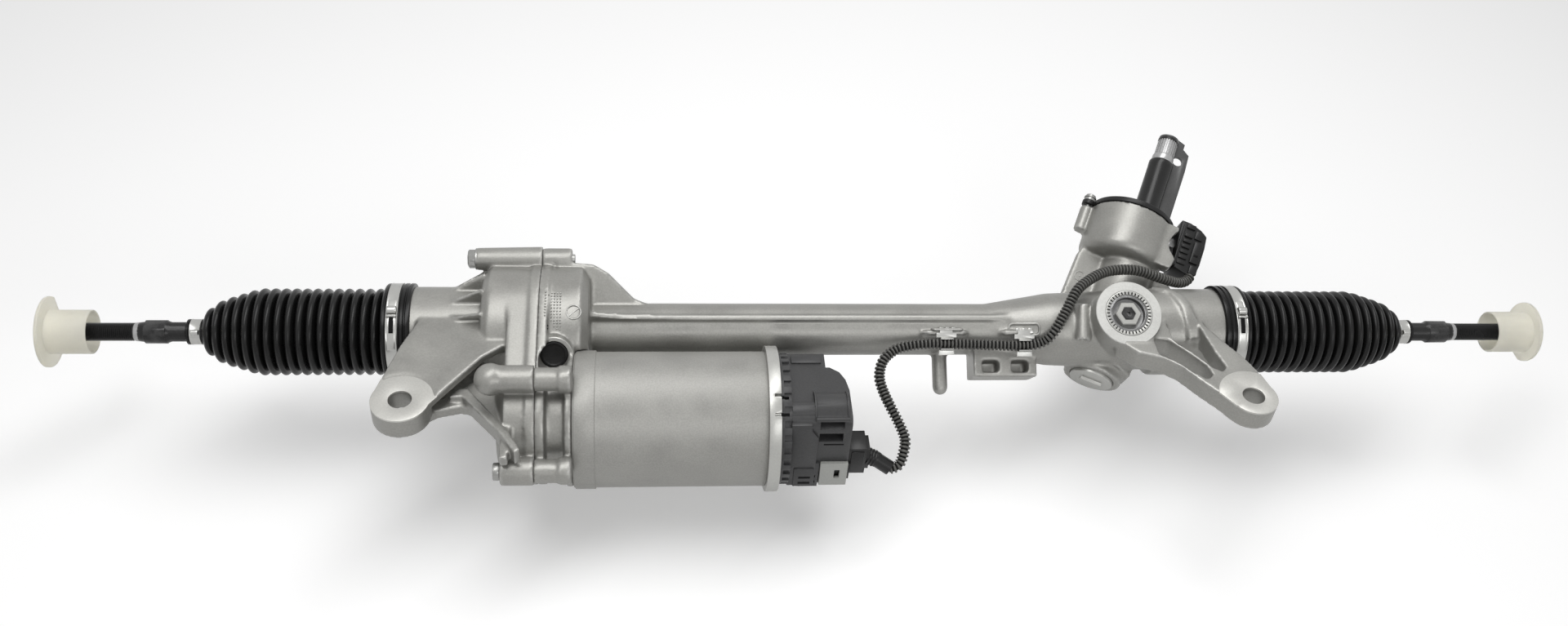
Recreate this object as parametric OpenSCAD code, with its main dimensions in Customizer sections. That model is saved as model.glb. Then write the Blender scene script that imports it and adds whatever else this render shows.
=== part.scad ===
// Electric power steering rack with belt-driven ball nut, in millimetres.
// The origin is midway between the two mounting holes on the top faces of the ears.
// +X runs along the rack towards the pinion, +Z runs up along the mounting bolts.

/* [Mounting] */
// Distance between the two mounting holes
ear_spacing = 630; // [610:1:640]
// Diameter of each mounting hole
ear_hole_d = 17; // [13:0.5:19]
// Outer radius of each mounting ear
ear_r = 21; // [18:0.5:24]
// Outer radius of the right ear
right_ear_r = 18.5; // [17:0.5:21]
// Thickness of each mounting ear
ear_t = 18; // [16:1:20]
// Distance from the line of holes back to the rack's axis
ear_reach = 101; // [98:1:104]
// Height of the ears' faces over the rack's axis
ear_rise = 30; // [27:1:32]

/* [Rack] */
// Diameter of the rack bar
rack_d = 26; // [24:0.5:28]
// Length of the rack bar
rack_l = 780; // [770:2:790]
// Travel of the rack to each side
travel = 75; // [60:1:76]
// Radial running gap of the rack in its bush
rack_gap = 0.05; // [0.02:0.01:0.1]

/* [Pinion] */
// Distance of the pinion from the middle of the gear
pinion_x = 235.5; // [232:0.5:238]
// Number of pinion teeth
pinion_teeth = 8; // [7:1:9]
// Module of the rack and pinion teeth
gear_module = 2.25; // [2:0.05:2.4]
// Pressure angle of the teeth
pressure_angle = 25; // [24:0.5:28]
// Height of a tooth over the pitch line
tooth_addendum = 1.6; // [1.3:0.05:1.6]
// Gap at the foot of each tooth
tooth_clearance = 0.4; // [0.3:0.05:0.6]
// Amount by which each tooth is thinned on each flank
tooth_play = 0.12; // [0.08:0.01:0.2]
// Angle by which the pinion leans along the rack
pinion_lean = 23; // [22:0.5:25]
// Angle by which the pinion's plane tilts up from level
pinion_tilt = 28; // [24:1:32]
// Radius of the tower that holds the pinion
tower_r = 23.5; // [22:0.5:25]
// Outer radius of the cup round the torque sensor
cup_r = 35; // [33:0.5:37]
// Height of the cup along the input shaft
cup_h = 43; // [40:1:46]
// Distance of the cup's axis from the pinion's axis
cup_offset = 9; // [6:0.5:10]

/* [Housing] */
// Outer diameter of the long tube
tube_d = 41; // [39:1:43]
// Bore of the long tube
tube_bore_d = 31; // [30:0.5:33]
// Height of the tube's outline over its bore
tube_rise = 2; // [0:0.5:3]
// Outer diameter of the two necks
neck_d = 70; // [66:1:74]
// Distance from the middle of the gear to the end of each neck
neck_end = 330; // [326:1:334]
// Bore of each neck
neck_bore_d = 54; // [50:1:56]
// Outer radius of the belt case round the rack
case_r = 51; // [50:0.5:53]
// Outer radius of the belt case round the motor shaft
case_low_r = 47; // [44:0.5:49]
// Wall of the belt case
case_wall = 6; // [4:0.5:8]

/* [Belt drive] */
// Pitch of the toothed belt
belt_pitch = 3; // [3:1:3]
// Number of belt teeth
belt_teeth = 109; // [109:1:109]
// Number of teeth on the pulley round the ball nut
driven_teeth = 80; // [78:1:80]
// Number of teeth on the motor's pulley
drive_teeth = 29; // [29:1:31]
// Width of the belt
belt_w = 24; // [20:1:26]
// Outer radius of the ball nut
nut_r = 28; // [26:0.5:29]

/* [Motor] */
// Outer radius of the motor's casing
motor_r = 51.2; // [49:0.1:53]
// Length of the motor's casing
motor_l = 143; // [136:1:146]
// Wall of the motor's casing
motor_wall = 4; // [3:0.5:5]
// Radius of the bright end plate of the motor
plate_r = 55.6; // [54:0.1:57]
// Length of the control unit beyond the motor
ecu_l = 53; // [50:1:56]
// Radius of the control unit's castellated rim
ecu_r = 50; // [47:0.5:52]

/* [Tie rods] */
// Distance from the end of the rack bar to the ball of its tie rod
ball_reach = 22; // [20:1:24]
// Radius of the ball
ball_r = 14; // [13:0.5:14.5]
// Outer radius of the ball's socket
socket_r = 19; // [18:0.5:20]
// Diameter of the tie rod's thread
thread_d = 14; // [12:1:16]
// Length of each tie rod from its ball to the end of its thread
rod_l = 172; // [166:1:176]

/* [Bellows] */
// Outer radius of the bellows over its folds
bellows_r = 33.5; // [32:0.5:35]
// Number of folds on each bellows
folds = 17; // [14:1:18]
// Distance from the ball to the small end of its bellows
bellows_tail = 63; // [60:1:66]
// Wall of the bellows
bellows_wall = 1.6; // [1.2:0.1:2]

/* [Cap] */
// Outer radius of the protective cap
cap_r = 16.8; // [15:0.1:18]
// Length of the protective cap
cap_l = 33; // [31:1:36]
// Wall of the protective cap
cap_wall = 1.5; // [1:0.1:2]
// Radius of the flange that closes the cap
cap_flange_r = 27; // [24:0.5:28]

/* [Cable] */
// Outer diameter of the corrugated cable sleeve
cable_d = 8.7; // [8:0.1:9.4]

/* [Hidden] */
$fn = 72;
cast_grey = [0.72, 0.71, 0.68];
bright_grey = [0.82, 0.82, 0.80];
steel_grey = [0.55, 0.56, 0.58];
charcoal = [0.24, 0.24, 0.24];
rubber_black = [0.08, 0.08, 0.08];
plastic_black = [0.11, 0.11, 0.11];
milky = [0.88, 0.89, 0.86];
copper = [0.72, 0.45, 0.25];

// Small gap between still parts that seat in each other
seat_gap = 0.05;
// Gap between parts of different bodies that don't guide each other
free_gap = 0.3;

// Pinion geometry
pitch_r = gear_module * pinion_teeth / 2;
pinion_offset = 2 * pitch_r;
tooth_pitch = PI * gear_module;
base_r = pitch_r * cos(pressure_angle);
pinion_tip_r = pitch_r + tooth_addendum;
pinion_root_r = pitch_r - tooth_addendum - tooth_clearance;
rack_r = rack_d / 2;
rack_pitch_n = pinion_offset - pitch_r;
rack_tip_n = rack_pitch_n + tooth_addendum;
rack_root_n = rack_pitch_n - tooth_addendum - tooth_clearance;
toothed_x0 = pinion_x - travel - 22;
toothed_x1 = pinion_x + travel + 22;

// Stations of the tie rods
ball_x = rack_l / 2 + ball_reach;
rod_end = ball_x + rod_l;
bellows_end = ball_x + bellows_tail;

// Belt geometry
driven_r = driven_teeth * belt_pitch / (2 * PI);
drive_r = drive_teeth * belt_pitch / (2 * PI);
belt_k = belt_teeth * belt_pitch - PI * (driven_r + drive_r);
belt_centres = (belt_k + sqrt(belt_k * belt_k - 8 * pow(driven_r - drive_r, 2))) / 4;
motor_angle = 194.5;
motor_y = belt_centres * cos(motor_angle);
motor_z = belt_centres * sin(motor_angle);
belt_x = -235;

// Stations along the rack
case_x0 = -262;
seam_x = -221;
case_x1 = -190;
motor_x0 = -194;
motor_x1 = motor_x0 + motor_l;
plate_x1 = motor_x1 + 9;
ecu_x1 = plate_x1 + ecu_l;

// Places of the bolts that join the two castings, in Y and Z
motor_c = [motor_y, motor_z];
bolt_places = [
    polar(case_r + 5.8, 47),
    motor_c + polar(case_low_r + 11.5, 103),
    motor_c + polar(case_low_r + 11.5, 172),
    motor_c + polar(case_low_r + 11.5, -70)
];
bolt_r = 4;
boss_r = 9.5;
bearing_x = -256;
bearing_w = 16;
bearing_r = 41;
low_bore_r = 21;
belt_space = 14;
lobe_x0 = -244;

// Stations and radii of the right casting
ear_x = ear_spacing / 2;
ear_z0 = ear_rise - ear_t;
spot_r = 26;
strut_t = 9;
flare_x0 = 130;
neck_x0 = 264;
neck_depth = 30;
rail_angle = 22;
rail_t = 5;
rail_h = 3;
gusset_angle = -40;
plug_angle = 63.5;
plug_x = -209;
plug_r = 10.5;
plug_face = case_r + 7;
clip_places = [94, 156];
clip_centres = [[-25.9, 11.8], [-28.1, 12.3]];
lug_tops = [25, 26.6];
clip_angle = 48;
lug_angle = 128;
stub_x = 93;
block_x0 = 118;
block_l = 51;
yoke_face = 47;
yoke_boss_r = 26.5;
yoke_r = 16;
yoke_n = 30;
yoke_plug_n = 38;
yoke_plug_r = 18.5;
tower_l0 = -37;
plug_h = 10;
plug_bore_r = 17.5;
lower_bore_r = 12;
upper_bearing_l = 40;
upper_bearing_r = 17.5;
cup_l0 = 66;
cup_wall = 4;
cup_round = 9;
socket_h = 30;
screw_eye_r = 5.6;

// Outlines of the arms that carry the ears, in X and Y
right_arm = [
    [240, -20], [262, 20], [287, 18], [293, 0], [299, -22], [308, -39], [320, -59], [326, -72],
    [332, -95], [299, -111], [290, -98], [280, -86], [268, -69], [256, -60], [238, -54], [225, -40]
];
arm_pocket_back = [
    [268, -6], [282, 6], [289, -4], [294, -22], [299, -54], [303, -70], [299, -75],
    [292, -70], [281, -54], [270, -42]
];
arm_pocket_front = [
    [254, -38], [266, -40], [280, -57], [288, -68], [290, -78], [285, -83], [275, -75], [266, -64], [254, -56]
];
arm_ridge = [
    [267, 20], [278, 8], [283, -8], [285, -22], [287, -31], [299, -30], [292, -14], [288, 2], [281, 16], [272, 26]
];
left_web = [
    [-225, -10], [-230, -33], [-261, -59], [-279, -84], [-299, -112], [-315, -122], [-330, -116],
    [-336, -100], [-329.5, -75], [-321.5, -46], [-312, -20], [-300, 0], [-262, 0]
];
left_strut = [
    [-304, -104], [-291, -95], [-275, -91], [-267.5, -93], [-258, -105], [-250, -114],
    [-245, -123], [-244, -141], [-238, -141], [-238, -80], [-262, -60], [-290, -84], [-304, -88]
];

left_brace = [
    [-284, -86], [-277, -77], [-271, -77], [-255, -98], [-239, -119], [-229, -137], [-233, -140],
    [-243.5, -123], [-260, -103], [-274, -86]
];

function polar(r, a) = [r * cos(a), r * sin(a)];
function arc(c, r, a0, a1, n = 12) = [for (i = [0 : n]) c + polar(r, a0 + (a1 - a0) * i / n)];

// Corners of the straight band that is tangent to two circles
function band_corners(c1, r1, c2, r2) =
    let (d = c2 - c1, a = atan2(d[1], d[0]), b = acos((r1 - r2) / norm(d)))
    [c1 + polar(r1, a + b), c2 + polar(r2, a + b), c2 + polar(r2, a - b), c1 + polar(r1, a - b)];

// Moves children from the rack's axis to their place in the frame of the ears
module on_rack() {
    translate([0, ear_reach, -ear_rise]) children();
}

// Moves children to the motor's axis
module on_motor() {
    on_rack() at_motor() children();
}

module at_motor() {
    translate([0, motor_y, motor_z]) children();
}

// A disc from x along +X
module disc(x, h, r) {
    translate([x, 0, 0]) rotate([0, 90, 0]) cylinder(h = h, r = r);
}

// A cone from x along +X
module taper(x, h, r1, r2) {
    translate([x, 0, 0]) rotate([0, 90, 0]) cylinder(h = h, r1 = r1, r2 = r2);
}

// A ring from x along +X
module ring(x, h, r_out, r_in) {
    translate([x, 0, 0]) rotate([0, 90, 0]) difference() {
        cylinder(h = h, r = r_out);
        translate([0, 0, -1]) cylinder(h = h + 2, r = r_in);
    }
}

// A round rod from point a to point b
module rod(a, b, r) {
    d = b - a;
    translate(a) rotate([0, acos(d[2] / norm(d)), atan2(d[1], d[0])]) cylinder(h = norm(d), r = r);
}

// Extrudes a profile drawn in Y and Z along +X from x
module yz(x, h) {
    translate([x, 0, 0]) rotate([90, 0, 90]) linear_extrude(h) children();
}

// Turns a profile of [radius, x] points about the X axis
module turned_x(points) {
    rotate([0, 90, 0]) rotate_extrude() polygon(points);
}

// A plate drawn in X and height, standing on the axis and turned about it
module fin(angle, t) {
    rotate([angle, 0, 0]) translate([0, t / 2, 0]) rotate([90, 0, 0]) linear_extrude(t) children();
}

// Frame of the pinion: local z runs up the shaft, local y away from the rack
module on_pinion(l = 0) {
    on_rack() translate([pinion_x, 0, 0]) rotate([pinion_tilt - 90, 0, 0]) {
        rotate([0, pinion_lean, 0]) translate([0, pinion_offset, l]) children();
    }
}

// Frame of the yoke: local z runs from the rack's axis out to the yoke's plug
module on_yoke(n = 0) {
    on_rack() translate([pinion_x, 0, 0]) rotate([pinion_tilt, 0, 0]) translate([0, 0, n]) children();
}

// Mirrors children to the left end
module left_end() {
    mirror([1, 0, 0]) children();
}

// Outline of the belt case, grown from its two shafts by the radii given, with its sides set in a little
module case_outline(r1, r2, inset = 0) {
    circle(r = r1);
    translate(motor_c) circle(r = r2);
    polygon(band_corners([0, 0], r1 - inset, motor_c, r2 - inset));
}

// Outline of the space that the belt runs in
module belt_space_outline() {
    case_outline(case_r - case_wall, low_bore_r, 1.2);
}

// Repeats children at the bolts that join the castings
module at_bolts(which = [0 : 3]) {
    for (i = which) translate([0, bolt_places[i][0], bolt_places[i][1]]) children();
}

module ear_boss(side, z0, r) {
    translate([side * ear_x, -ear_reach, z0]) cylinder(h = ear_rise - z0, r = r);
}

module ear_bores(side) {
    translate([side * ear_x, -ear_reach, ear_z0 - 20]) cylinder(h = ear_t + 40, d = ear_hole_d);
    translate([side * ear_x, -ear_reach, ear_rise]) cylinder(h = 20, r = spot_r);
}

// A level plate between two heights, drawn in X and Y
module level_plate(z0, z1, points) {
    translate([0, 0, z0]) linear_extrude(z1 - z0) polygon(points);
}

// Right casting: long tube, pinion tower, sensor cup, yoke boss, right neck and ear
module main_housing() {
    color(cast_grey) difference() {
        union() {
            on_rack() {
                tube_shape();
                belt_side_shape();
                difference() {
                    level_plate(ear_z0 + 1, ear_rise, right_arm);
                    level_plate(ear_z0, ear_rise + 1, arm_pocket_back);
                    level_plate(ear_z0, ear_rise + 1, arm_pocket_front);
                }
                // Ridge that carries the arm's edge over the neck
                intersection() {
                    disc(neck_x0 - 2, 50, neck_d / 2 + 2.4);
                    level_plate(15, 50, arm_ridge);
                }
                ear_boss(1, ear_z0, right_ear_r);
                clip_lugs();
                lower_brackets();
            }
            tower_shape();
            on_yoke() cylinder(h = yoke_face, r = yoke_boss_r);
        }
        on_rack() housing_bores();
        tower_bores();
    }
}

module tube_shape() {
    translate([0, tube_rise * 0.68, tube_rise * 0.73]) {
        disc(case_x1 - 4, flare_x0 - case_x1 + 4, tube_d / 2);
        fin(rail_angle, rail_t) polygon([
            [case_x1 - 5, 0], [case_x1 - 5, case_r - 8], [case_x1 + 6, tube_d / 2 + 9],
            [case_x1 + 30, tube_d / 2 + rail_h + 1.5], [-100, tube_d / 2 + rail_h],
            [pinion_x - 45, tube_d / 2 + rail_h], [pinion_x - 30, 0]
        ]);
        taper(flare_x0, 50, tube_d / 2, neck_d / 2 - 6);
        taper(flare_x0 + 50, neck_x0 - flare_x0 - 50, neck_d / 2 - 6, neck_d / 2 - 2);
    }
    disc(neck_x0, neck_end - neck_x0, neck_d / 2);
}

module belt_side_shape() {
    yz(seam_x, 7) case_outline(case_r + 1.5, case_low_r + 1.5);
    disc(seam_x, case_x1 - seam_x, case_r);
    taper(case_x1, 6, case_r, case_r - 9);
    yz(seam_x, motor_x0 - seam_x) case_outline(case_low_r - 8, case_low_r - 6, 1);
    at_motor() disc(motor_x0 - 6, 6, motor_r - 1);
    at_bolts() disc(seam_x, motor_x0 - seam_x - 4, boss_r - 0.8);
    at_bolts([1 : 3]) disc(motor_x0 - 9, 9, boss_r + 0.6);
    // Gusset from the case down to the tube
    fin(gusset_angle, 12) polygon([
        [seam_x + 12, 0], [seam_x + 12, 55], [case_x1 + 8, 53], [case_x1 + 20, 46],
        [-150, 26], [-138, tube_d / 2 + 1], [-138, 0]
    ]);
    // Boss round the blanking plug
    intersection() {
        disc(seam_x, 40, 2 * case_r);
        rotate([plug_angle, 0, 0]) translate([plug_x, 0, 0]) cylinder(h = plug_face, r = plug_r + 3.4);
    }
}

// Lugs on the tube that the cable's clips hook over
module clip_lugs() {
    for (i = [0, 1]) let (x = clip_places[i], top = lug_tops[i]) {
        fin(clip_angle, 4) polygon([
            [x - 20, 0], [x - 18, top - 3], [x - 14, top], [x + 14, top], [x + 18, top - 3], [x + 20, 0]
        ]);
    }
}

// Stub, ribbed block and small boss on the tube
module lower_brackets() {
    rotate([lug_angle, 0, 0]) translate([stub_x, 0, 0]) {
        cylinder(h = 45, r = 6);
        translate([0, 0, 45]) sphere(r = 6);
    }
    rotate([lug_angle, 0, 0]) difference() {
        translate([block_x0, -14, 0]) cube([block_l, 28, 38]);
        for (i = [0, 1]) translate([block_x0 + 7 + i * (block_l / 2 - 2), 1, 25]) {
            cube([block_l / 2 - 12, 40, 9]);
        }
    }
    difference() {
        rod([205, -3, 32.5], [202.5, -28, 17], 6);
        rod([203, -23, 20.1], [202, -33, 13.9], 3);
    }
}

module tower_shape() {
    on_pinion(tower_l0) cylinder(h = cup_l0 - tower_l0 + 4, r = tower_r);
    on_pinion(cup_l0) translate([-cup_offset, 0, 0]) cup_shape();
    // Foot boss with cast shoulders
    on_pinion(tower_l0 + 8) linear_extrude(20) polygon([
        [-27, -12], [-14, -25], [14, -25], [27, -12], [27, 10], [-27, 10]
    ]);
    // Web between the tube and the cup
    on_pinion() translate([0, -2, 0]) rotate([90, 0, 0]) linear_extrude(10, center = true) polygon([
        [-24, 0], [-52, -16], [-50, 4], [-46, 24], [-44, cup_l0 - 4], [-40, cup_l0 + 10],
        [0, cup_l0 + 10], [0, 0]
    ]);
    // Web between the neck and the cup
    on_pinion() translate([0, 5, 0]) rotate([90, 0, 0]) linear_extrude(12) polygon([
        [0, 0], [46, 30], [46, 56], [33, 66], [28, cup_l0 + 5], [0, cup_l0 + 5]
    ]);
    // Lugs for the cover's screws
    at_cover_screws(cup_l0 + 18) cylinder(h = cup_h - 20, r = screw_eye_r);
    // Wing beside the sensor's plug
    on_pinion() translate([0, -15, 0]) rotate([90, 0, 0]) linear_extrude(9) polygon([
        [12, 70], [29, 70], [31, 80], [25, 86], [22, 92], [24, 101], [27, 105],
        [27, cup_l0 + cup_h], [12, cup_l0 + cup_h]
    ]);
}

module at_cover_screws(l) {
    on_pinion(l) at_screw_eyes() children();
}

module cup_shape() {
    rotate_extrude() polygon(concat(
        [[0, 0], [cup_r - cup_round, 0]],
        arc([cup_r - cup_round, cup_round], cup_round, -90, 0, 6),
        [[cup_r, cup_h], [0, cup_h]]
    ));
}

module housing_bores() {
    disc(seam_x - 1, neck_end - seam_x + 2, tube_bore_d / 2);
    disc(neck_end - neck_depth, neck_depth + 1, neck_bore_d / 2);
    yz(seam_x - 1, belt_space + 1) belt_space_outline();
    disc(seam_x - 1, belt_space + 7, nut_r + 1);
    at_motor() disc(seam_x - 1, motor_x0 - seam_x + 2, low_bore_r - 3);
    at_motor() disc(motor_x0, 30, motor_r + 1.5);
    at_bolts([0]) disc(seam_x - 1, 60, bolt_r + 0.3);
    at_bolts([1 : 3]) disc(seam_x - 1, 18, bolt_r + 0.3);
    ear_bores(1);
    rotate([plug_angle, 0, 0]) translate([plug_x, 0, 0]) {
        translate([0, 0, case_r - case_wall - 6]) cylinder(h = 30, r = plug_r - 1.5);
        translate([0, 0, plug_face - 4]) cylinder(h = 30, r = plug_r);
    }
}

module tower_bores() {
    on_pinion() {
        translate([0, 0, tower_l0 - 1]) cylinder(h = plug_h + 1, r = plug_bore_r);
        translate([0, 0, tower_l0 + plug_h - 1]) cylinder(h = upper_bearing_l - tower_l0, r = lower_bore_r);
        translate([0, 0, upper_bearing_l]) {
            cylinder(h = cup_l0 + cup_wall + 1 - upper_bearing_l, r = upper_bearing_r);
        }
        translate([-cup_offset, 0, cup_l0 + cup_wall]) cylinder(h = cup_h, r = cup_r - cup_wall);
    }
    at_cover_screws(cup_l0 + 24) cylinder(h = cup_h, r = 2.1);
    on_pinion(cup_l0 + cup_h - socket_h) translate([18, -8, 0]) cube([30, 16, socket_h + 1]);
    on_yoke(3) cylinder(h = yoke_face, r = yoke_r + seat_gap);
    on_yoke(yoke_plug_n) cylinder(h = yoke_face, r = yoke_plug_r);
}

// Left casting: belt case, seat of the nut's bearing, left neck and ear
module belt_housing() {
    color(cast_grey) on_rack() difference() {
        union() {
            disc(-neck_end, neck_end + case_x0, neck_d / 2);
            taper(case_x0 - 3, 6, case_r - 6, case_r);
            disc(case_x0 + 3, seam_x - case_x0 - 3, case_r);
            yz(seam_x - 7, 7) case_outline(case_r + 1.5, case_low_r + 1.5);
            yz(lobe_x0, seam_x - lobe_x0) case_outline(case_r, case_low_r);
            at_motor() taper(lobe_x0 - 6, 7, case_low_r - 14, case_low_r);
            at_bolts([2, 3]) disc(seam_x - 24, 24, boss_r + 0.8);
            at_bolts([1]) {
                disc(seam_x - 33, 33, boss_r + 0.8);
                translate([seam_x - 31, 0, 0]) sphere(r = boss_r + 2.4);
            }
            at_bolts([0]) taper(seam_x - 51, 51, boss_r - 0.8, boss_r + 0.3);
            for (a = [-48, -20, 5, 30]) fin(a, 3) polygon([
                [case_x0 - 26, neck_d / 2 - 4], [case_x0 - 26, neck_d / 2 + 0.5],
                [case_x0 - 2, case_r - 2], [case_x0 + 4, neck_d / 2 - 4]
            ]);
            level_plate(ear_rise - 6, ear_rise + 0.8, left_web);
            level_plate(ear_z0 - strut_t, ear_z0, left_strut);
            level_plate(ear_z0 - strut_t, ear_z0 + 5, left_brace);
            ear_boss(-1, ear_z0, ear_r);
        }
        disc(-neck_end - 1, neck_depth + 1, neck_bore_d / 2);
        disc(-neck_end, neck_end + seam_x + 2, tube_bore_d / 2);
        disc(bearing_x - 8, 30, nut_r + 1);
        disc(bearing_x, 40, bearing_r);
        yz(bearing_x + bearing_w, 60) belt_space_outline();
        at_bolts([0, 2, 3]) disc(seam_x - 90, 100, bolt_r + 0.3);
        at_bolts([1]) disc(seam_x - 22, 32, bolt_r + 0.3);
        ear_bores(-1);
    }
}

module through_bolts() {
    color(steel_grey) on_rack() {
        at_bolts([0]) bolt(seam_x - 51, 76);
        at_bolts([1]) disc(seam_x - 21, 36, bolt_r);
        at_bolts([2, 3]) bolt(seam_x - 24, 38);
    }
}

// Bolt with its head's seat at x
module bolt(x, l) {
    disc(x - 5, 5, 6.5);
    disc(x - 0.5, l + 0.5, bolt_r);
}

// Machined plug in the case's access hole
module blanking_plug() {
    color(bright_grey) on_rack() rotate([plug_angle, 0, 0]) translate([plug_x, 0, 0]) difference() {
        union() {
            translate([0, 0, plug_face - 4]) cylinder(h = 5, r = plug_r - seat_gap);
            translate([0, 0, plug_face - 5]) cylinder(h = 2, r = plug_r - 1.5 - seat_gap);
        }
        translate([0, 0, plug_face - 1]) cylinder(h = 6, r = 4.2, $fn = 6);
    }
}

// Sleeve in which the rack slides at the right end
module rack_bush() {
    color(steel_grey) on_rack() ring(270, 26, tube_bore_d / 2 - seat_gap, rack_r + rack_gap);
}

// Rubber-faced rings that stop the rack at each end
module stop_dampers() {
    color(rubber_black) on_rack() {
        for (x = [-neck_end + neck_depth - 7, neck_end - neck_depth]) ring(x, 7, neck_bore_d / 2 - seat_gap, 14.5);
    }
}

// Ball bearing drawn as one ring with a groove on each face between its races
module bearing(x, w, r_out, r_in) {
    groove = (r_out - r_in) / 3;
    difference() {
        ring(x, w, r_out, r_in);
        ring(x - 1, 1.8, r_out - groove, r_in + groove);
        ring(x + w - 0.8, 1.8, r_out - groove, r_in + groove);
    }
}

module nut_bearing() {
    color(steel_grey) on_rack() bearing(bearing_x, bearing_w, bearing_r - seat_gap, nut_r + seat_gap);
}

// Steel ball nut round the rack
module ball_nut() {
    color(bright_grey) on_rack() difference() {
        disc(bearing_x - 6, 50, nut_r);
        disc(bearing_x - 7, 52, rack_r + free_gap);
        for (x = ball_rows) rotate([0, 90, 0]) rotate_extrude() {
            translate([ball_circle, x]) circle(r = ball_size + seat_gap);
        }
    }
}

ball_rows = [-244, -236, -228, -220];
ball_size = 1.95;
ball_circle = rack_r + ball_size + 0.02;

// Balls that run between the nut and the rack
module ball_train() {
    color(steel_grey) on_rack() for (x = ball_rows) for (k = [0 : 21]) {
        rotate([k * 360 / 22, 0, 0]) translate([x, 0, ball_circle]) sphere(r = ball_size, $fn = 24);
    }
}

// Layout of the belt round its two pulleys
belt_wrap = acos((driven_r - drive_r) / belt_centres);
belt_span = sqrt(belt_centres * belt_centres - pow(driven_r - drive_r, 2));
belt_arc1 = driven_r * (360 - 2 * belt_wrap) * PI / 180;
belt_arc2 = drive_r * 2 * belt_wrap * PI / 180;
belt_loop = belt_arc1 + belt_arc2 + 2 * belt_span;
belt_step = belt_loop / belt_teeth;

// Point at length s along the belt's pitch line, o outside it
function belt_point(s, o) =
    s < belt_arc1 ? polar(driven_r + o, motor_angle + belt_wrap + s / driven_r * 180 / PI)
    : s < belt_arc1 + belt_span ? let (n = polar(1, motor_angle - belt_wrap), f = (s - belt_arc1) / belt_span)
        (driven_r + o) * n + f * (motor_c + (drive_r - driven_r) * n)
    : s < belt_arc1 + belt_span + belt_arc2
        ? motor_c + polar(drive_r + o, motor_angle - belt_wrap + (s - belt_arc1 - belt_span) / drive_r * 180 / PI)
    : let (n = polar(1, motor_angle + belt_wrap), f = (s - belt_arc1 - belt_span - belt_arc2) / belt_span)
        motor_c + (drive_r + o) * n + f * (-motor_c + (driven_r - drive_r) * n);

// Toothed belt between the two pulleys
module drive_belt() {
    color(rubber_black) on_rack() yz(belt_x + 1, belt_w) difference() {
        polygon([for (k = [0 : belt_teeth - 1]) for (j = [0, 0.5]) belt_point((k + j) * belt_step, 1.2)]);
        polygon([for (k = [0 : belt_teeth - 1]) for (t = [[0.26, -0.45], [0.18, -1.55], [-0.18, -1.55], [-0.26, -0.45]])
            belt_point((k - t[0] + 1) % belt_teeth * belt_step, t[1])]);
    }
}

// Toothed pulley outline with a tooth space at the angle given
function pulley_points(teeth, r, phase) = [
    for (k = [0 : teeth - 1]) for (t = [[-0.33, -0.6], [-0.25, -1.85], [0.25, -1.85], [0.33, -0.6]])
        polar(r + t[1], phase + (k + t[0]) * 360 / teeth)
];

// Pulley pressed on the ball nut
module driven_pulley() {
    color(steel_grey) on_rack() yz(belt_x, belt_w + 2) difference() {
        polygon(pulley_points(driven_teeth, driven_r, motor_angle + belt_wrap));
        circle(r = nut_r + 0.01);
    }
}

drive_phase = motor_angle - belt_wrap
    + (ceil((belt_arc1 + belt_span) / belt_step) * belt_step - belt_arc1 - belt_span) / drive_r * 180 / PI;

// Pulley on the motor's shaft
module drive_pulley() {
    color(steel_grey) on_rack() yz(belt_x, belt_w + 2) difference() {
        polygon(pulley_points(drive_teeth, drive_r, 0) * [
            [cos(drive_phase), sin(drive_phase)], [-sin(drive_phase), cos(drive_phase)]
        ] + [for (i = [1 : 4 * drive_teeth]) motor_c]);
        translate(motor_c) circle(r = shaft_r + 0.01);
    }
}

shaft_r = 6;
front_bearing_r = 14;
rear_bearing_r = 13;

// Motor casing with its stepped front ring and front bearing's seat
module motor_casing() {
    color(cast_grey) on_motor() difference() {
        union() {
            disc(motor_x0, motor_l, motor_r);
            yz(motor_x0 + 1, 15) polygon(arc([0, 0], motor_r + 1.2, 5, 350, 23));
        }
        disc(motor_x0 + 14, motor_l, motor_r - motor_wall);
        disc(motor_x0 + 4, 20, front_bearing_r);
        disc(motor_x0 - 1, 20, shaft_r + 2);
    }
}

module motor_front_bearing() {
    color(steel_grey) on_motor() bearing(motor_x0 + 4, 9, front_bearing_r - seat_gap, shaft_r + seat_gap);
}

// Bright plate between the motor and the control unit
module motor_end_plate() {
    color(bright_grey) on_motor() difference() {
        disc(motor_x1, 9, plate_r);
        disc(motor_x1 + 1.5, 12, rear_bearing_r);
        disc(motor_x1 - 1, 12, shaft_r + 2);
        for (a = plate_notches) fin(a, 2.4) translate([motor_x1 + 4, plate_r - 6]) square([10, 12]);
    }
}

plate_notches = [25, 40];

module motor_rear_bearing() {
    color(steel_grey) on_motor() bearing(motor_x1 + 1.5, 7, rear_bearing_r - seat_gap, shaft_r + seat_gap);
}

stator_x0 = motor_x0 + 34;
stator_l = 80;

// Laminated stator with a slot for each winding
module stator_core() {
    color(steel_grey) on_motor() difference() {
        ring(stator_x0, stator_l, motor_r - motor_wall - seat_gap, 22);
        for (a = [0 : 30 : 330]) rotate([a, 0, 0]) translate([stator_x0 - 1, -3.5, 26]) cube([stator_l + 2, 7, 15]);
    }
}

// Copper bars in the slots, joined by a coil head at each end
module stator_windings() {
    color(copper) on_motor() {
        for (x = [stator_x0 - 8, stator_x0 + stator_l + 0.1]) ring(x, 7.9, 42, 25);
        for (a = [0 : 30 : 330]) rotate([a, 0, 0]) {
            translate([stator_x0 - 1, -3, 27]) cube([stator_l + 2, 6, 13]);
        }
    }
}

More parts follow.
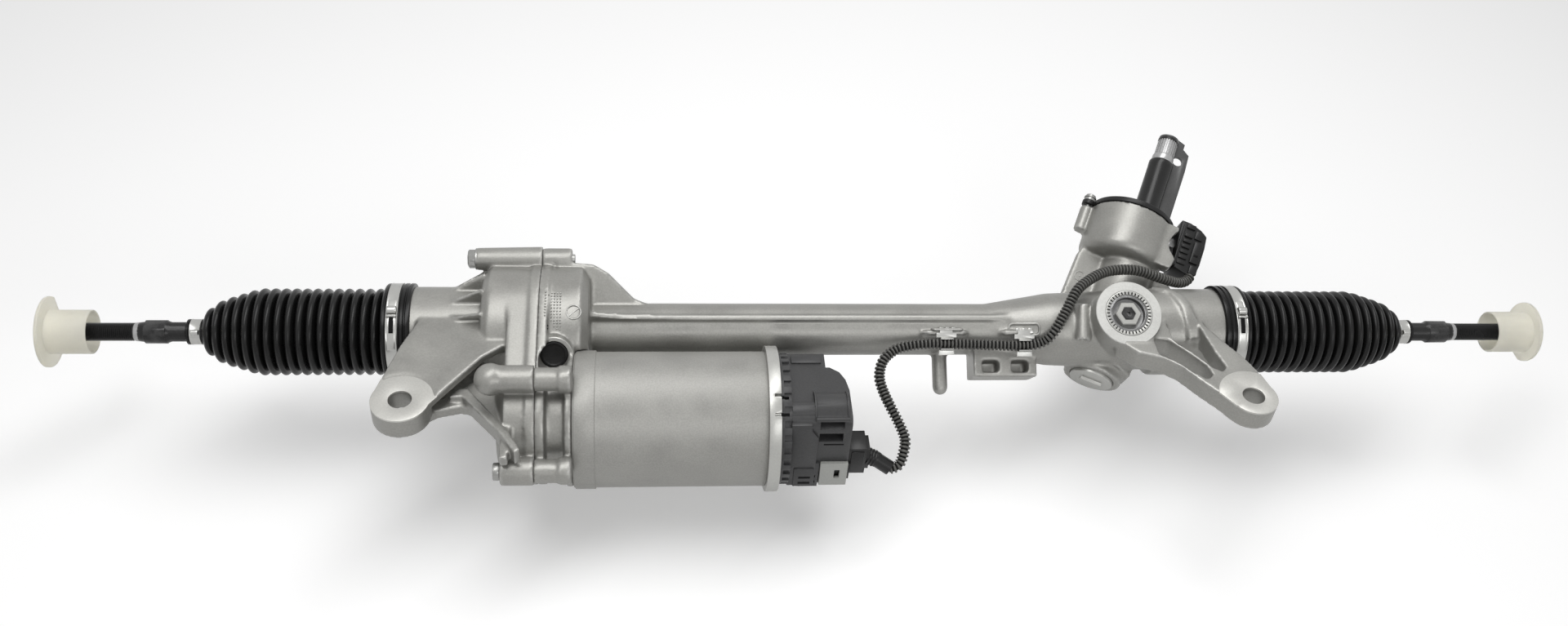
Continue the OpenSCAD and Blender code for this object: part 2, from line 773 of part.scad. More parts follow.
// Motor shaft with the wide seat of the magnets
module motor_shaft() {
    color(steel_grey) on_motor() {
        disc(belt_x - 2, motor_x1 + 8 - belt_x + 2, shaft_r);
        disc(stator_x0, stator_l, 12);
    }
}

// Magnet ring with eight poles
module rotor_magnets() {
    color(charcoal) on_motor() difference() {
        ring(stator_x0 + 2, stator_l - 4, 20.5, 12);
        for (a = [0 : 45 : 315]) rotate([a, 0, 0]) {
            translate([stator_x0, -0.6, 18.5]) cube([stator_l, 1.2, 4]);
        }
    }
}

// Outline of a rectangle with rounded corners
function rounded(w, h, r) = concat(
    arc([w / 2 - r, h / 2 - r], r, 0, 90, 5), arc([r - w / 2, h / 2 - r], r, 90, 180, 5),
    arc([r - w / 2, r - h / 2], r, 180, 270, 5), arc([w / 2 - r, r - h / 2], r, 270, 360, 5)
);

ecu_half = 37;
ecu_step = -5;
ecu_low = 35;
hood_x0 = -16;
hood_x1 = 8;

// Control unit's housing with its castellated rim and plug mouths
module ecu_housing() {
    color(charcoal) on_motor() difference() {
        union() {
            disc(plate_x1, 8, ecu_r);
            intersection() {
                level_plate(-ecu_low, ecu_half, [
                    [plate_x1 + 7, -ecu_half], [ecu_x1, -ecu_half], [ecu_x1, -6], [ecu_x1 - 2, 5],
                    [ecu_x1 - 6, 13], [ecu_x1 - 13, 18], [ecu_step, 18], [ecu_step, ecu_half], [plate_x1 + 7, ecu_half]
                ]);
                yz(plate_x1, ecu_l + 1) polygon(rounded(2 * ecu_half, 2 * ecu_half, 7));
            }
            // Half-round ridge and hood on the upper front edge
            translate([0, -25, ecu_half - 4]) disc(plate_x1 + 6, 21, 8);
            translate([0, -20, ecu_half - 11]) disc(hood_x0, hood_x1 - hood_x0, 16);
            // Raised panel on the front
            level_plate(-34, -8, [
                [-26, -ecu_half - 2], [-11, -ecu_half - 2], [-11, -ecu_half + 1], [-28, -ecu_half + 1]
            ]);
        }
        for (a = [0 : 12 : 348]) rotate([a, 0, 0]) translate([plate_x1 + 2.5, -2.6, ecu_r - 2]) cube([6, 5.2, 4]);
        // Space for the board
        yz(plate_x1 - 1, 26) polygon(rounded(2 * ecu_low - 6, 2 * ecu_low - 6, 5));
        // Mouths of the power and signal sockets
        translate([hood_x0 + 3, -ecu_half - 12, 27]) cube([18, 28, 9]);
        translate([hood_x0 + 3, -ecu_half - 12, 14]) cube([18, 24, 9]);
        for (z = [-30, -24]) translate([-24, -ecu_half - 3, z]) cube([11, 3.5, 2.4]);
        // Seat of the header
        translate([header_x0, -ecu_half - 3, -32]) cube([ecu_x1 - header_x0 + 1, 16, 24]);
        for (a = plate_notches) fin(a, 2.4) translate([plate_x1 - 1, ecu_r - 7]) square([7, 12]);
    }
}

header_x0 = -10;

// Circuit board with its capacitors and chips
module ecu_board() {
    color([0.10, 0.32, 0.18]) on_motor() {
        yz(plate_x1 + 10, 1.6) polygon(rounded(2 * ecu_low - 6.1, 2 * ecu_low - 6.1, 5));
        for (y = [-18, 0, 18]) translate([0, y, 18]) disc(plate_x1 + 11, 10, 7);
        for (p = [[-20, -18], [4, -22], [18, -6]]) translate([plate_x1 + 11, p[0] - 6, p[1] - 6]) cube([3, 12, 12]);
    }
}

// Grey header that takes the sensor cable's plug
module ecu_header() {
    color([0.45, 0.46, 0.44]) on_motor() difference() {
        translate([header_x0, -ecu_half - 3, -32]) cube([ecu_x1 - header_x0, 15.95, 24]);
        translate([-3, -ecu_half, -29]) cube([20, 11, 18]);
        translate([1, -ecu_half - 4, -24]) cube([4, 5, 9]);
    }
}

// Elbow of the boot, and the place where the cable leaves it
boot_bend = [34, -28, -16];
boot_end = [45, -33, -21];

// Plug of the sensor cable at the control unit, with its elbow boot
module ecu_plug() {
    color(plastic_black) on_motor() {
        difference() {
            union() {
                translate([-2, 0.5 - ecu_half, -28.5]) cube([15, 10, 17]);
                translate([ecu_x1, 3 - ecu_half, -25]) cube([14, 19, 27]);
                translate([ecu_x1 + 13, 5 - ecu_half, -22]) cube([4, 15, 21]);
            }
            translate([ecu_x1 + 3, 2 - ecu_half, -20]) cube([8, 2.5, 17]);
        }
        rod([ecu_x1 + 12, -25, -12], boot_bend, 6);
        rod(boot_bend, boot_end, 5.8);
        translate(boot_bend) sphere(r = 6.2);
    }
}

cable_route = [
    [44, -109, -41], [52, -107, -38], [56, -99, -31], [57, -91, -26], [53, -81, -20], [47, -70, -13],
    [42, -57, -8], [40, -47, -3], [43, -37, 3], [51, -30, 7], [62, -27, 10], [82, -26, 12], [121, -26, 11],
    [153, -28, 12], [169, -28, 15], [178, -25, 23], [188, -13, 33], [199, 3, 42], [213, 16, 43], [228, 26, 42],
    [244, 31, 40], [259, 33, 37], [278, 34, 29], [296, 38, 20], [306, 43, 17], [311, 48, 18]
];

function unit(v) = v / norm(v);

// Smooth curve through the points of a route, given as points at even parts of each span
function spline(p, i, f) =
    let (n = len(p) - 1, a = p[max(i - 1, 0)], b = p[i], c = p[min(i + 1, n)], d = p[min(i + 2, n)])
    0.5 * (2 * b + (c - a) * f + (2 * a - 5 * b + 4 * c - d) * f * f + (3 * b - a - 3 * c + d) * f * f * f);
function smooth(p, k) = concat(
    [for (i = [0 : len(p) - 2]) for (j = [0 : k - 1]) spline(p, i, j / k)], [p[len(p) - 1]]
);

// Round tube swept along points
module sweep(p, r, sides) {
    n = len(p);
    tangents = [for (i = [0 : n - 1]) unit(p[min(i + 1, n - 1)] - p[max(i - 1, 0)])];
    rings = [for (i = [0 : n - 1]) let (
        t = tangents[i], u = unit(cross(t, abs(t[2]) > 0.9 ? [1, 0, 0] : [0, 0, 1])), v = cross(t, u)
    ) for (k = [0 : sides - 1]) p[i] + r * cos(360 * k / sides) * u + r * sin(360 * k / sides) * v];
    faces = concat(
        [for (i = [0 : n - 2]) for (k = [0 : sides - 1]) let (m = (k + 1) % sides)
            [i * sides + k, i * sides + m, (i + 1) * sides + m, (i + 1) * sides + k]],
        [[for (k = [sides - 1 : -1 : 0]) k]],
        [[for (k = [0 : sides - 1]) (n - 1) * sides + k]]
    );
    polyhedron(points = rings, faces = faces, convexity = 8);
}

// Corrugated cable sleeve along its route
module sensor_cable() {
    color(plastic_black) on_rack() sweep(smooth(cable_route, 3), cable_d / 2, 10);
}

// Clips that hold the cable to the tube
module cable_clips() {
    color(bright_grey) on_rack() for (i = [0, 1]) {
        x = clip_places[i] - 5;
        c = clip_centres[i];
        across = c * [cos(clip_angle), sin(clip_angle)] + cable_d / 2 + 0.5;
        translate([0, c[0], c[1]]) rotate([47, 0, 0]) {
            difference() {
                ring(x, 10, cable_d / 2 + 1.15, cable_d / 2 + 0.5);
                translate([x - 1, -3.6, 0]) cube([12, 7.2, 10]);
            }
            translate([x - 1, -8.8, -0.6]) cube([12, 3.8, 1.2]);
            translate([x - 3, 5, -0.6]) cube([16, 3.6, 1.2]);
        }
        // Tongue that lies on the lug
        rotate([clip_angle, 0, 0]) translate([x, across, lug_tops[i]]) cube([10, 2 - across, 1.6]);
    }
}

// Plug of the sensor cable at the cup
module sensor_plug() {
    color(plastic_black) on_pinion() {
        translate([0, 12, 0]) rotate([90, 0, 0]) linear_extrude(26) polygon([
            [29, 122], [37, 122], [47, 119], [53, 115], [54, 104], [54, 87], [52, 75], [42, 76], [33, 78],
            [32, 86], [30, 104]
        ]);
        translate([22.5, -7.5, cup_l0 + cup_h - socket_h + 1]) cube([12, 15, socket_h - 12]);
        translate([20, -2, cup_l0 + cup_h + 4.5]) cube([14, 12, 4]);
    }
}

// Cover over the torque sensor with a collar round the shaft
module sensor_cover() {
    color(plastic_black) on_pinion(cup_l0 + cup_h) difference() {
        union() {
            translate([-cup_offset, 0, 0]) cylinder(h = 4, r = cup_r + 0.6);
            cylinder(h = 8, r = 15);
            at_screw_eyes() cylinder(h = 4, r = screw_eye_r);
        }
        translate([0, 0, -1]) cylinder(h = 12, r = shaft_top_r + 0.5);
        translate([0, 0, 5]) cylinder(h = 12, r = 12);
        at_screw_eyes() translate([0, 0, -1]) cylinder(h = 6, r = 2.2);
    }
}

module at_screw_eyes() {
    for (a = [180, 65]) translate([-cup_offset, 0, 0]) rotate([0, 0, a]) translate([cup_r + 4, 0, 0]) children();
}

shaft_top_r = 8.5;
shaft_l1 = 194;

// Ring-shaped circuit board of the torque sensor
module sensor_board() {
    color([0.10, 0.32, 0.18]) on_pinion(cup_l0 + cup_h - 8) difference() {
        union() {
            translate([-cup_offset, 0, 0]) cylinder(h = 1.6, r = cup_r - cup_wall - seat_gap);
            for (a = [120, 150, 180, 210]) rotate([0, 0, a]) translate([22, -4, 1.5]) cube([7, 8, 2]);
        }
        translate([0, 0, -1]) cylinder(h = 6, r = 10);
    }
}

module cover_screws() {
    color(plastic_black) at_cover_screws(cup_l0 + cup_h) {
        translate([0, 0, 4]) cylinder(h = 3, r = 4.8);
        translate([0, 0, -14]) cylinder(h = 18.5, r = 2);
    }
}

module pinion_upper_bearing() {
    color(steel_grey) on_pinion() rotate([0, -90, 0]) {
        bearing(upper_bearing_l, 12, upper_bearing_r - seat_gap, journal_r + seat_gap);
    }
}

module pinion_lower_bearing() {
    color(steel_grey) on_pinion() rotate([0, -90, 0]) {
        bearing(-26, 11, lower_bore_r - seat_gap, lower_journal_r + seat_gap);
    }
}

journal_r = 8.5;
lower_journal_r = 6;
torsion_r = 3;

// Plug that closes the pinion's bore, with a bar for the key
module pinion_plug() {
    color(bright_grey) on_pinion(tower_l0) difference() {
        union() {
            translate([0, 0, -2]) cylinder(h = plug_h + 1.9, r = plug_bore_r - seat_gap);
            translate([-9, -3, -4.5]) cube([18, 6, 3]);
        }
        translate([0, 0, 1.5]) cylinder(h = plug_h, r = 11.5);
    }
}

// Yoke that presses the rack against the pinion
module yoke() {
    color(bright_grey) on_yoke() difference() {
        translate([0, 0, 3.5]) cylinder(h = yoke_n - 3.5, r = yoke_r);
        rotate([0, 90, 0]) cylinder(h = 60, r = rack_r + rack_gap, center = true);
    }
}

// Spring between the yoke and its plug
module yoke_spring() {
    color(steel_grey) on_yoke() sweep([for (i = [0 : 54])
        let (a = i * 20, h = yoke_n + 0.95 + i / 54 * (yoke_plug_n - yoke_n - 1.9)) [7 * cos(a), 7 * sin(a), h]
    ], 0.9, 6);
}

// Threaded plug that sets the yoke, with its hexagon and centre bore
module yoke_plug() {
    color(steel_grey) on_yoke(yoke_plug_n) difference() {
        union() {
            difference() {
                union() {
                    cylinder(h = 3.2, r = yoke_plug_r - seat_gap);
                    cylinder(h = 8.5, r = lock_r - seat_gap);
                }
                translate([0, 0, 4]) cylinder(h = 10, r = 13);
            }
            cylinder(h = 7.5, r = 8.6, $fn = 6);
        }
        translate([0, 0, 5]) cylinder(h = 6, r = 1.8);
    }
}

lock_r = 15.3;

// Notched ring that locks the yoke's plug
module yoke_lock_ring() {
    color(bright_grey) on_yoke(yoke_plug_n + 3.2) difference() {
        cylinder(h = 6, r = yoke_plug_r - seat_gap);
        translate([0, 0, -1]) cylinder(h = 8, r = lock_r);
        for (k = [0 : 37]) rotate([0, 0, k * 360 / 38]) {
            translate([lock_r - 0.5, -0.55, 5]) cube([2.6, 1.1, 2]);
        }
    }
}

// Rack bar with the toothed flat that meets the pinion
module rack_bar() {
    color(steel_grey) on_rack() difference() {
        union() {
            disc(-rack_l / 2 + 4, rack_l - 8, rack_r);
            disc(-rack_l / 2 - 4, rack_l + 8, stud_r);
        }
        on_teeth() translate([-12.5 * tooth_pitch - 3, rack_tip_n, -60]) cube([25 * tooth_pitch + 6, 20, 120]);
        on_teeth() linear_extrude(116, center = true) for (i = [-12 : 12]) translate([i * tooth_pitch, 0]) polygon([
            [-space_half(rack_root_n), rack_root_n], [space_half(rack_root_n), rack_root_n],
            [space_half(rack_r + 2), rack_r + 2], [-space_half(rack_r + 2), rack_r + 2]
        ]);
    }
}

stud_r = 8;

// Half width of a rack tooth space at a distance from the rack's axis
function space_half(n) = tooth_pitch / 4 + (n - rack_pitch_n) * tan(pressure_angle) + tooth_play;

module on_teeth() {
    translate([pinion_x, 0, 0]) rotate([pinion_tilt - 90, 0, 0]) rotate([0, pinion_lean, 0]) children();
}

// Half angle of a pinion tooth at a radius
function roll(r) = tan(acos(base_r / r)) * 180 / PI - acos(base_r / r);
function tooth_half(r) =
    90 / pinion_teeth - tooth_play / pitch_r * 180 / PI + roll(pitch_r) - roll(max(r, base_r));

pinion_radii = [for (i = [0 : 6]) base_r + (pinion_tip_r - base_r) * i / 6];

// Toothed pinion with its journals and the torsion bar's bore
module pinion_shaft() {
    color(steel_grey) on_pinion() difference() {
        union() {
            translate([0, 0, -14]) linear_extrude(28) polygon([
                for (k = [0 : pinion_teeth - 1]) let (a = 270 + k * 360 / pinion_teeth) each concat(
                    [polar(pinion_root_r, a - tooth_half(base_r))],
                    [for (r = pinion_radii) polar(r, a - tooth_half(r))],
                    [for (i = [6 : -1 : 0]) polar(pinion_radii[i], a + tooth_half(pinion_radii[i]))],
                    [polar(pinion_root_r, a + tooth_half(base_r))]
                )
            ]);
            translate([0, 0, -28]) cylinder(h = 14.5, r = lower_journal_r);
            translate([0, 0, -34.5]) cylinder(h = 7, r = 5);
            translate([0, 0, 13.5]) cylinder(h = 56.5, r = journal_r);
        }
        translate([0, 0, 30]) cylinder(h = 60, r = torsion_r + seat_gap);
    }
}

// Nut under the lower bearing
module pinion_nut() {
    color(bright_grey) on_pinion(-34) difference() {
        cylinder(h = 6, r = 8.7, $fn = 6);
        translate([0, 0, -1]) cylinder(h = 8, r = 5.01);
    }
}

// Hollow input shaft with splines at its top
module input_shaft() {
    color(steel_grey) on_pinion() difference() {
        translate([0, 0, 70.3]) cylinder(h = shaft_l1 - 70.3, r = shaft_top_r);
        translate([0, 0, 60]) cylinder(h = 150, r = torsion_r + seat_gap);
        for (k = [0 : 23]) rotate([0, 0, k * 15]) translate([shaft_top_r - 0.5, -0.45, 176]) cube([2, 0.9, 30]);
    }
}

module torsion_bar() {
    color(bright_grey) on_pinion(30) cylinder(h = 154, r = torsion_r);
}

// Magnet ring that the torque sensor reads
module sensor_magnet() {
    color(charcoal) on_pinion(84) difference() {
        cylinder(h = 10, r = 17);
        translate([0, 0, -1]) cylinder(h = 12, r = shaft_top_r + 0.01);
    }
}

guard_l0 = 120;
guard_l1 = 173;

// Sleeve and pierced fin that guard the input shaft
module shaft_guard() {
    color(charcoal) on_pinion() difference() {
        union() {
            translate([0, 0, guard_l0]) cylinder(h = guard_l1 - guard_l0, r = 10);
            translate([0, 5, 0]) rotate([90, 0, 0]) linear_extrude(3) polygon([
                [0, guard_l0], [22, guard_l0], [22, 175], [21, 191], [15, 195], [15, 200], [9, 202], [0, 202]
            ]);
            translate([0, 0, shaft_l1]) cylinder(h = 4, r = shaft_top_r);
        }
        translate([0, 0, 100]) cylinder(h = shaft_l1 - 100, r = shaft_top_r + 0.01);
        translate([13.2, 10, 182]) rotate([90, 0, 0]) cylinder(h = 20, r = 4.2);
    }
}

// A ball at the joint of the tie rod, with its poles on the rack's axis
module ball_at_rod(r) {
    translate([ball_x, 0, 0]) rotate([0, 90, 0]) sphere(r = r);
}

// Socket that joins a tie rod's ball to the rack
module ball_socket() {
    color(steel_grey) on_rack() difference() {
        disc(rack_l / 2 - 4, ball_x + 11.5 - rack_l / 2 + 4, socket_r);
        disc(rack_l / 2 - 5, 12, stud_r + 0.01);
        ball_at_rod(seat_r);
        for (s = [-1, 1]) translate([rack_l / 2 - 5, -20, s > 0 ? socket_r - 1.5 : -socket_r - 8.5]) cube([9, 40, 10]);
    }
}

seat_r = 15.85;

module ball_seat() {
    color([0.90, 0.90, 0.84]) on_rack() difference() {
        ball_at_rod(seat_r - seat_gap);
        ball_at_rod(ball_r + seat_gap);
        translate([ball_x + 9, -30, -30]) cube(60);
        translate([ball_x - 70, -30, -30]) cube([60, 60, 60]);
    }
}

module right_ball_socket() {
    ball_socket();
}

module left_ball_socket() {
    left_end() ball_socket();
}

module right_ball_seat() {
    ball_seat();
}

module left_ball_seat() {
    left_end() ball_seat();
}

rod_r = 7.5;
hex_x = bellows_end + 26;

// Tie rod with its ball, shank, spanner flats and thread
module tie_rod() {
    color(steel_grey) on_rack() {
        ball_at_rod(ball_r);
        disc(ball_x, 28, 6);
        disc(ball_x + 24, hex_x - ball_x - 24, rod_r);
        taper(hex_x, 4, rod_r, 9);
        intersection() {
            disc(hex_x + 3, 16, 9);
            translate([hex_x, -30, -8]) cube([40, 60, 16]);
        }
        taper(hex_x + 18, 8, 8, thread_d / 2);
        disc(hex_x + 24, rod_end - hex_x - 24, thread_d / 2);
    }
}

module right_tie_rod() {
    tie_rod();
}

module left_tie_rod() {
    left_end() tie_rod();
}

cuff_x0 = 318;
bellows_x0 = 341;
fold_l = (bellows_end - bellows_x0) / folds;
fold_depth = 5.5;

// Outer radius of the bellows at a fold's peak
fold_steps = [1.5, 4, 6.5, 9.5, 15];
function fold_r(k) = bellows_r - (k < folds - 5 ? 0 : fold_steps[k - folds + 5]);

// Rubber bellows with its cuff, folds and nose
module bellows() {
    outer = concat(
        [[neck_d / 2 + 1.4, cuff_x0], [neck_d / 2 + 2.8, cuff_x0 + 1.5], [neck_d / 2 + 2.8, cuff_x0 + 6],
         [neck_d / 2 + 2, cuff_x0 + 7.5], [neck_d / 2 + 2, bellows_x0 - 4.5], [neck_d / 2 + 2, bellows_x0 - 2]],
        [for (k = [0 : folds - 1]) each [
            [fold_r(k) - fold_depth, bellows_x0 + k * fold_l + 0.8], [fold_r(k) - 1, bellows_x0 + (k + 0.38) * fold_l],
            [fold_r(k), bellows_x0 + (k + 0.5) * fold_l], [fold_r(k) - 1, bellows_x0 + (k + 0.62) * fold_l]
        ]],
        [[rod_r + 4, bellows_end - 1], [rod_r + 1.5, bellows_end + 1], [rod_r + 1.5, bellows_end + 14]]
    );
    inner = concat(
        [[neck_d / 2 + seat_gap, cuff_x0], [neck_d / 2 + seat_gap, neck_end + 1]],
        [for (k = [0 : folds - 1]) each [
            [fold_r(k) - fold_depth - bellows_wall, bellows_x0 + k * fold_l + 0.8],
            [fold_r(k) - bellows_wall, bellows_x0 + (k + 0.5) * fold_l]
        ]],
        [[rod_r + 0.01, bellows_end - 1], [rod_r + 0.01, bellows_end + 14]]
    );
    color(rubber_black) on_rack() rotate([0, 90, 0]) rotate_extrude() polygon(concat(
        outer, [for (i = [len(inner) - 1 : -1 : 0]) inner[i]]
    ));
}

module right_bellows() {
    bellows();
}

module left_bellows() {
    left_end() bellows();
}

// Band clamp on the cuff with its bent loop and strip end
module big_clamp() {
    clamp_r = neck_d / 2 + 2.8;
    color(bright_grey) on_rack() {
        ring(cuff_x0 + 9, 8.5, clamp_r + 0.2, neck_d / 2 + 2.01);
        rotate([20, 0, 0]) translate([cuff_x0 + 10, -3, clamp_r - 0.3]) cube([6.5, 6, 4.5]);
        rotate([27, 0, 0]) translate([cuff_x0 + 10, -1, clamp_r - 0.3]) cube([6.5, 2, 2]);
        rotate([42, 0, 0]) translate([cuff_x0 + 10.5, -8, clamp_r - 0.6]) cube([5.5, 16, 1.5]);
    }
}

module right_big_clamp() {
    big_clamp();
}

module left_big_clamp() {
    left_end() big_clamp();
}

// Spring clamp on the nose of the bellows
module small_clamp() {
    color(bright_grey) on_rack() {
        ring(bellows_end + 3, 8, rod_r + 2.4, rod_r + 1.51);
        for (a = [40, 75]) rotate([a, 0, 0]) translate([bellows_end + 4, -1, rod_r + 1.8]) cube([6, 2, 4]);
    }
}

module right_small_clamp() {
    small_clamp();
}

module left_small_clamp() {
    left_end() small_clamp();
}

cap_x0 = rod_end - 25;

// Protective cap over the thread, with its cut-off flange and inner sleeve
module cap(flat, flange_r) {
    color(milky) on_rack() difference() {
        union() {
            disc(cap_x0, cap_l, cap_r);
            intersection() {
                disc(cap_x0 + cap_l - 2.5, 2.5, flange_r);
                rotate([flat, 0, 0]) translate([cap_x0, -40, -40]) cube([60, 80, 62]);
            }
        }
        difference() {
            disc(cap_x0 - 1, cap_l - 2, cap_r - cap_wall);
            disc(rod_end - 12, 60, thread_d / 2 + 2);
        }
        disc(cap_x0 - 1, rod_end - cap_x0 + 2, thread_d / 2 + seat_gap);
    }
}

module right_cap() {
    cap(180, cap_flange_r - 2.5);
}

module left_cap() {
    left_end() cap(-90, cap_flange_r);
}

main_housing();
belt_housing();
through_bolts();
blanking_plug();
rack_bush();
stop_dampers();
motor_casing();
motor_end_plate();
stator_core();
stator_windings();
motor_front_bearing();
motor_rear_bearing();
ecu_housing();
ecu_board();
ecu_header();
ecu_plug();
sensor_cable();
cable_clips();
sensor_plug();
sensor_cover();
sensor_board();
cover_screws();
pinion_upper_bearing();
pinion_lower_bearing();
pinion_plug();
yoke();
yoke_spring();
yoke_plug();
yoke_lock_ring();
nut_bearing();
drive_belt();
left_bellows();
right_bellows();
left_big_clamp();
right_big_clamp();
rack_bar();
left_ball_socket();
right_ball_socket();
left_ball_seat();
right_ball_seat();
pinion_shaft();
pinion_nut();
input_shaft();
torsion_bar();
sensor_magnet();
shaft_guard();
ball_nut();
ball_train();
driven_pulley();
motor_shaft();
rotor_magnets();
drive_pulley();
left_tie_rod();
right_tie_rod();
left_small_clamp();
right_small_clamp();
left_cap();
right_cap();
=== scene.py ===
"""Steering rack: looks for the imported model, seen from above and in front.

Sizes are in millimetres and become metres in the helpers. X runs along the rack, and Z up along the
mounting bolts.
"""

import math

import bpy
from mathutils import Matrix, Vector
from mathutils.bvhtree import BVHTree


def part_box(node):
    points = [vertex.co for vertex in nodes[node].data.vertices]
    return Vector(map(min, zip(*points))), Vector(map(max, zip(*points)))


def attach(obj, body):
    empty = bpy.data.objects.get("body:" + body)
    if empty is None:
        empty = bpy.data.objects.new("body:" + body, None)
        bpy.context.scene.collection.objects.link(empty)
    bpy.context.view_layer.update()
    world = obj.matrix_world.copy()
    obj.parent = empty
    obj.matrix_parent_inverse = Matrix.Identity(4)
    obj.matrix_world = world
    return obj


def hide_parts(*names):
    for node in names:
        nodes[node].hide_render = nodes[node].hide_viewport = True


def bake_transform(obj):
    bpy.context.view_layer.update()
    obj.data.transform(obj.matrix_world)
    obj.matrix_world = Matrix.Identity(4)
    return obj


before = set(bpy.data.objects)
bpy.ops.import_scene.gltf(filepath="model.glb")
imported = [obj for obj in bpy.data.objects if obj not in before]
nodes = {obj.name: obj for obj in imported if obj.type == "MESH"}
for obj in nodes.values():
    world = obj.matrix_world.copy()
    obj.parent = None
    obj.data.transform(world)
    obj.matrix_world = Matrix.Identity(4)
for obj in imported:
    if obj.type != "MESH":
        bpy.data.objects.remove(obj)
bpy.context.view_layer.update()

MM = 0.001
FULL_TURN = 2 * math.pi

# Places

rack_low, rack_high = (Vector(corner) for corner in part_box("rack_bar"))
RACK_AXIS = (rack_low + rack_high) / 2
plate_low, plate_high = (Vector(corner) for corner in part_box("motor_end_plate"))
MOTOR_AXIS = (plate_low + plate_high) / 2
PINION_X = 235.5
PINION_TILT = 28
PINION_LEAN = 23
PINION_OFFSET = 18
ALONG_X = Matrix(((0, 0, 1, 0), (1, 0, 0, 0), (0, 1, 0, 0), (0, 0, 0, 1)))
EAR_X = 315
EAR_TOP = 0
SIDES = (("right", 1), ("left", -1))


def mm(*values):
    return Vector(values) * MM


def link(obj):
    bpy.context.scene.collection.objects.link(obj)


def turned_by(degrees, axis):
    return Matrix.Rotation(math.radians(degrees), 4, axis)


def at(x, y, z):
    return Matrix.Translation(mm(x, y, z))


def in_rack(x, y=0, z=0):
    """Place in the frame whose x axis is the rack's axis."""
    return Matrix.Translation((x * MM, RACK_AXIS.y + y * MM, RACK_AXIS.z + z * MM))


def on_rack(x):
    """Place on the rack's axis: local z runs along +X, local x to the back."""
    return in_rack(x) @ ALONG_X


def on_yoke(height):
    """Place on the yoke's axis: local z runs out of the housing."""
    return in_rack(PINION_X) @ turned_by(PINION_TILT, "X") @ at(0, 0, height)


# Local z runs up the input shaft, and the cup stands a little off its axis
PINION_PLACE = (in_rack(PINION_X) @ turned_by(PINION_TILT - 90, "X") @ turned_by(PINION_LEAN, "Y")
                @ at(0, PINION_OFFSET, 0))
CUP_PLACE = PINION_PLACE @ at(-9, 0, 0)
MOTOR_PLACE = Matrix.Translation((0, MOTOR_AXIS.y, MOTOR_AXIS.z))
HERE = Matrix.Identity(4)

# Camera

PHOTO_SIZE = (1920, 767)
PHOTO_FOCAL_PX = 1750
SENSOR = 36
CAMERA_AT = mm(-140.5, -716.5, 752.8)
CAMERA_HEIGHT = math.radians(43)
CAMERA_YAW = math.radians(5.5)
CAMERA_ROLL = math.radians(0.07)


def add_camera():
    toward = Vector((0, -math.cos(CAMERA_HEIGHT), math.sin(CAMERA_HEIGHT)))
    up = Vector((0, math.sin(CAMERA_HEIGHT), math.cos(CAMERA_HEIGHT)))
    ahead = Vector((1, 0, 0)) * math.sin(CAMERA_YAW) - toward * math.cos(CAMERA_YAW)
    right = Vector((1, 0, 0)) * math.cos(CAMERA_YAW) + toward * math.sin(CAMERA_YAW)
    right, up = (
        right * math.cos(CAMERA_ROLL) + up * math.sin(CAMERA_ROLL),
        up * math.cos(CAMERA_ROLL) - right * math.sin(CAMERA_ROLL),
    )
    turn = Matrix((right, up, -ahead)).transposed().to_4x4()
    data = bpy.data.cameras.new("camera")
    data.sensor_width = SENSOR
    data.lens = PHOTO_FOCAL_PX / PHOTO_SIZE[0] * SENSOR
    data.clip_start, data.clip_end = 0.05, 20
    camera = bpy.data.objects.new("camera", data)
    link(camera)
    camera.matrix_world = Matrix.Translation(CAMERA_AT) @ turn
    bpy.context.scene.camera = camera


add_camera()

# Node groups


def new_group(name, inputs, outputs):
    """A shader node group with the inputs' defaults and the outputs named, and its in and out nodes."""
    tree = bpy.data.node_groups.new(name, "ShaderNodeTree")
    for socket, value in inputs.items():
        kind = "NodeSocketFloat" if isinstance(value, float) else "NodeSocketColor"
        tree.interface.new_socket(socket, in_out="INPUT", socket_type=kind).default_value = value
    for socket in outputs:
        kind = "NodeSocketColor" if socket == "Color" else "NodeSocketFloat"
        tree.interface.new_socket(socket, in_out="OUTPUT", socket_type=kind)
    return tree, tree.nodes.new("NodeGroupInput"), tree.nodes.new("NodeGroupOutput")


def set_inputs(node, **values):
    """Sets a node's sockets by name, with _ for each space."""
    for name, value in values.items():
        node.inputs[name.replace("_", " ")].default_value = value
    return node


def feed(tree, value, socket):
    """Sets a socket to a number, or links another socket to it."""
    if isinstance(value, (int, float)):
        socket.default_value = value
    else:
        tree.links.new(value, socket)


def object_place(tree):
    return tree.nodes.new("ShaderNodeTexCoord").outputs["Object"]


def maths(tree, operation, a, b=None):
    """A Math node whose inputs are sockets or numbers."""
    node = tree.nodes.new("ShaderNodeMath")
    node.operation = operation
    for i, value in enumerate([a] if b is None else [a, b]):
        feed(tree, value, node.inputs[i])
    return node.outputs[0]


def noise(tree, vector, scale, detail=2.0, roughness=0.5):
    node = tree.nodes.new("ShaderNodeTexNoise")
    set_inputs(node, Detail=detail, Roughness=roughness)
    tree.links.new(vector, node.inputs["Vector"])
    feed(tree, scale, node.inputs["Scale"])
    return node.outputs["Fac"]


def spread(tree, value, low, high, to_low=0.0, to_high=1.0):
    """Maps a value from one range to another, held at the ends."""
    node = tree.nodes.new("ShaderNodeMapRange")
    set_inputs(node, From_Min=low, From_Max=high, To_Min=to_low, To_Max=to_high)
    tree.links.new(value, node.inputs["Value"])
    return node.outputs[0]


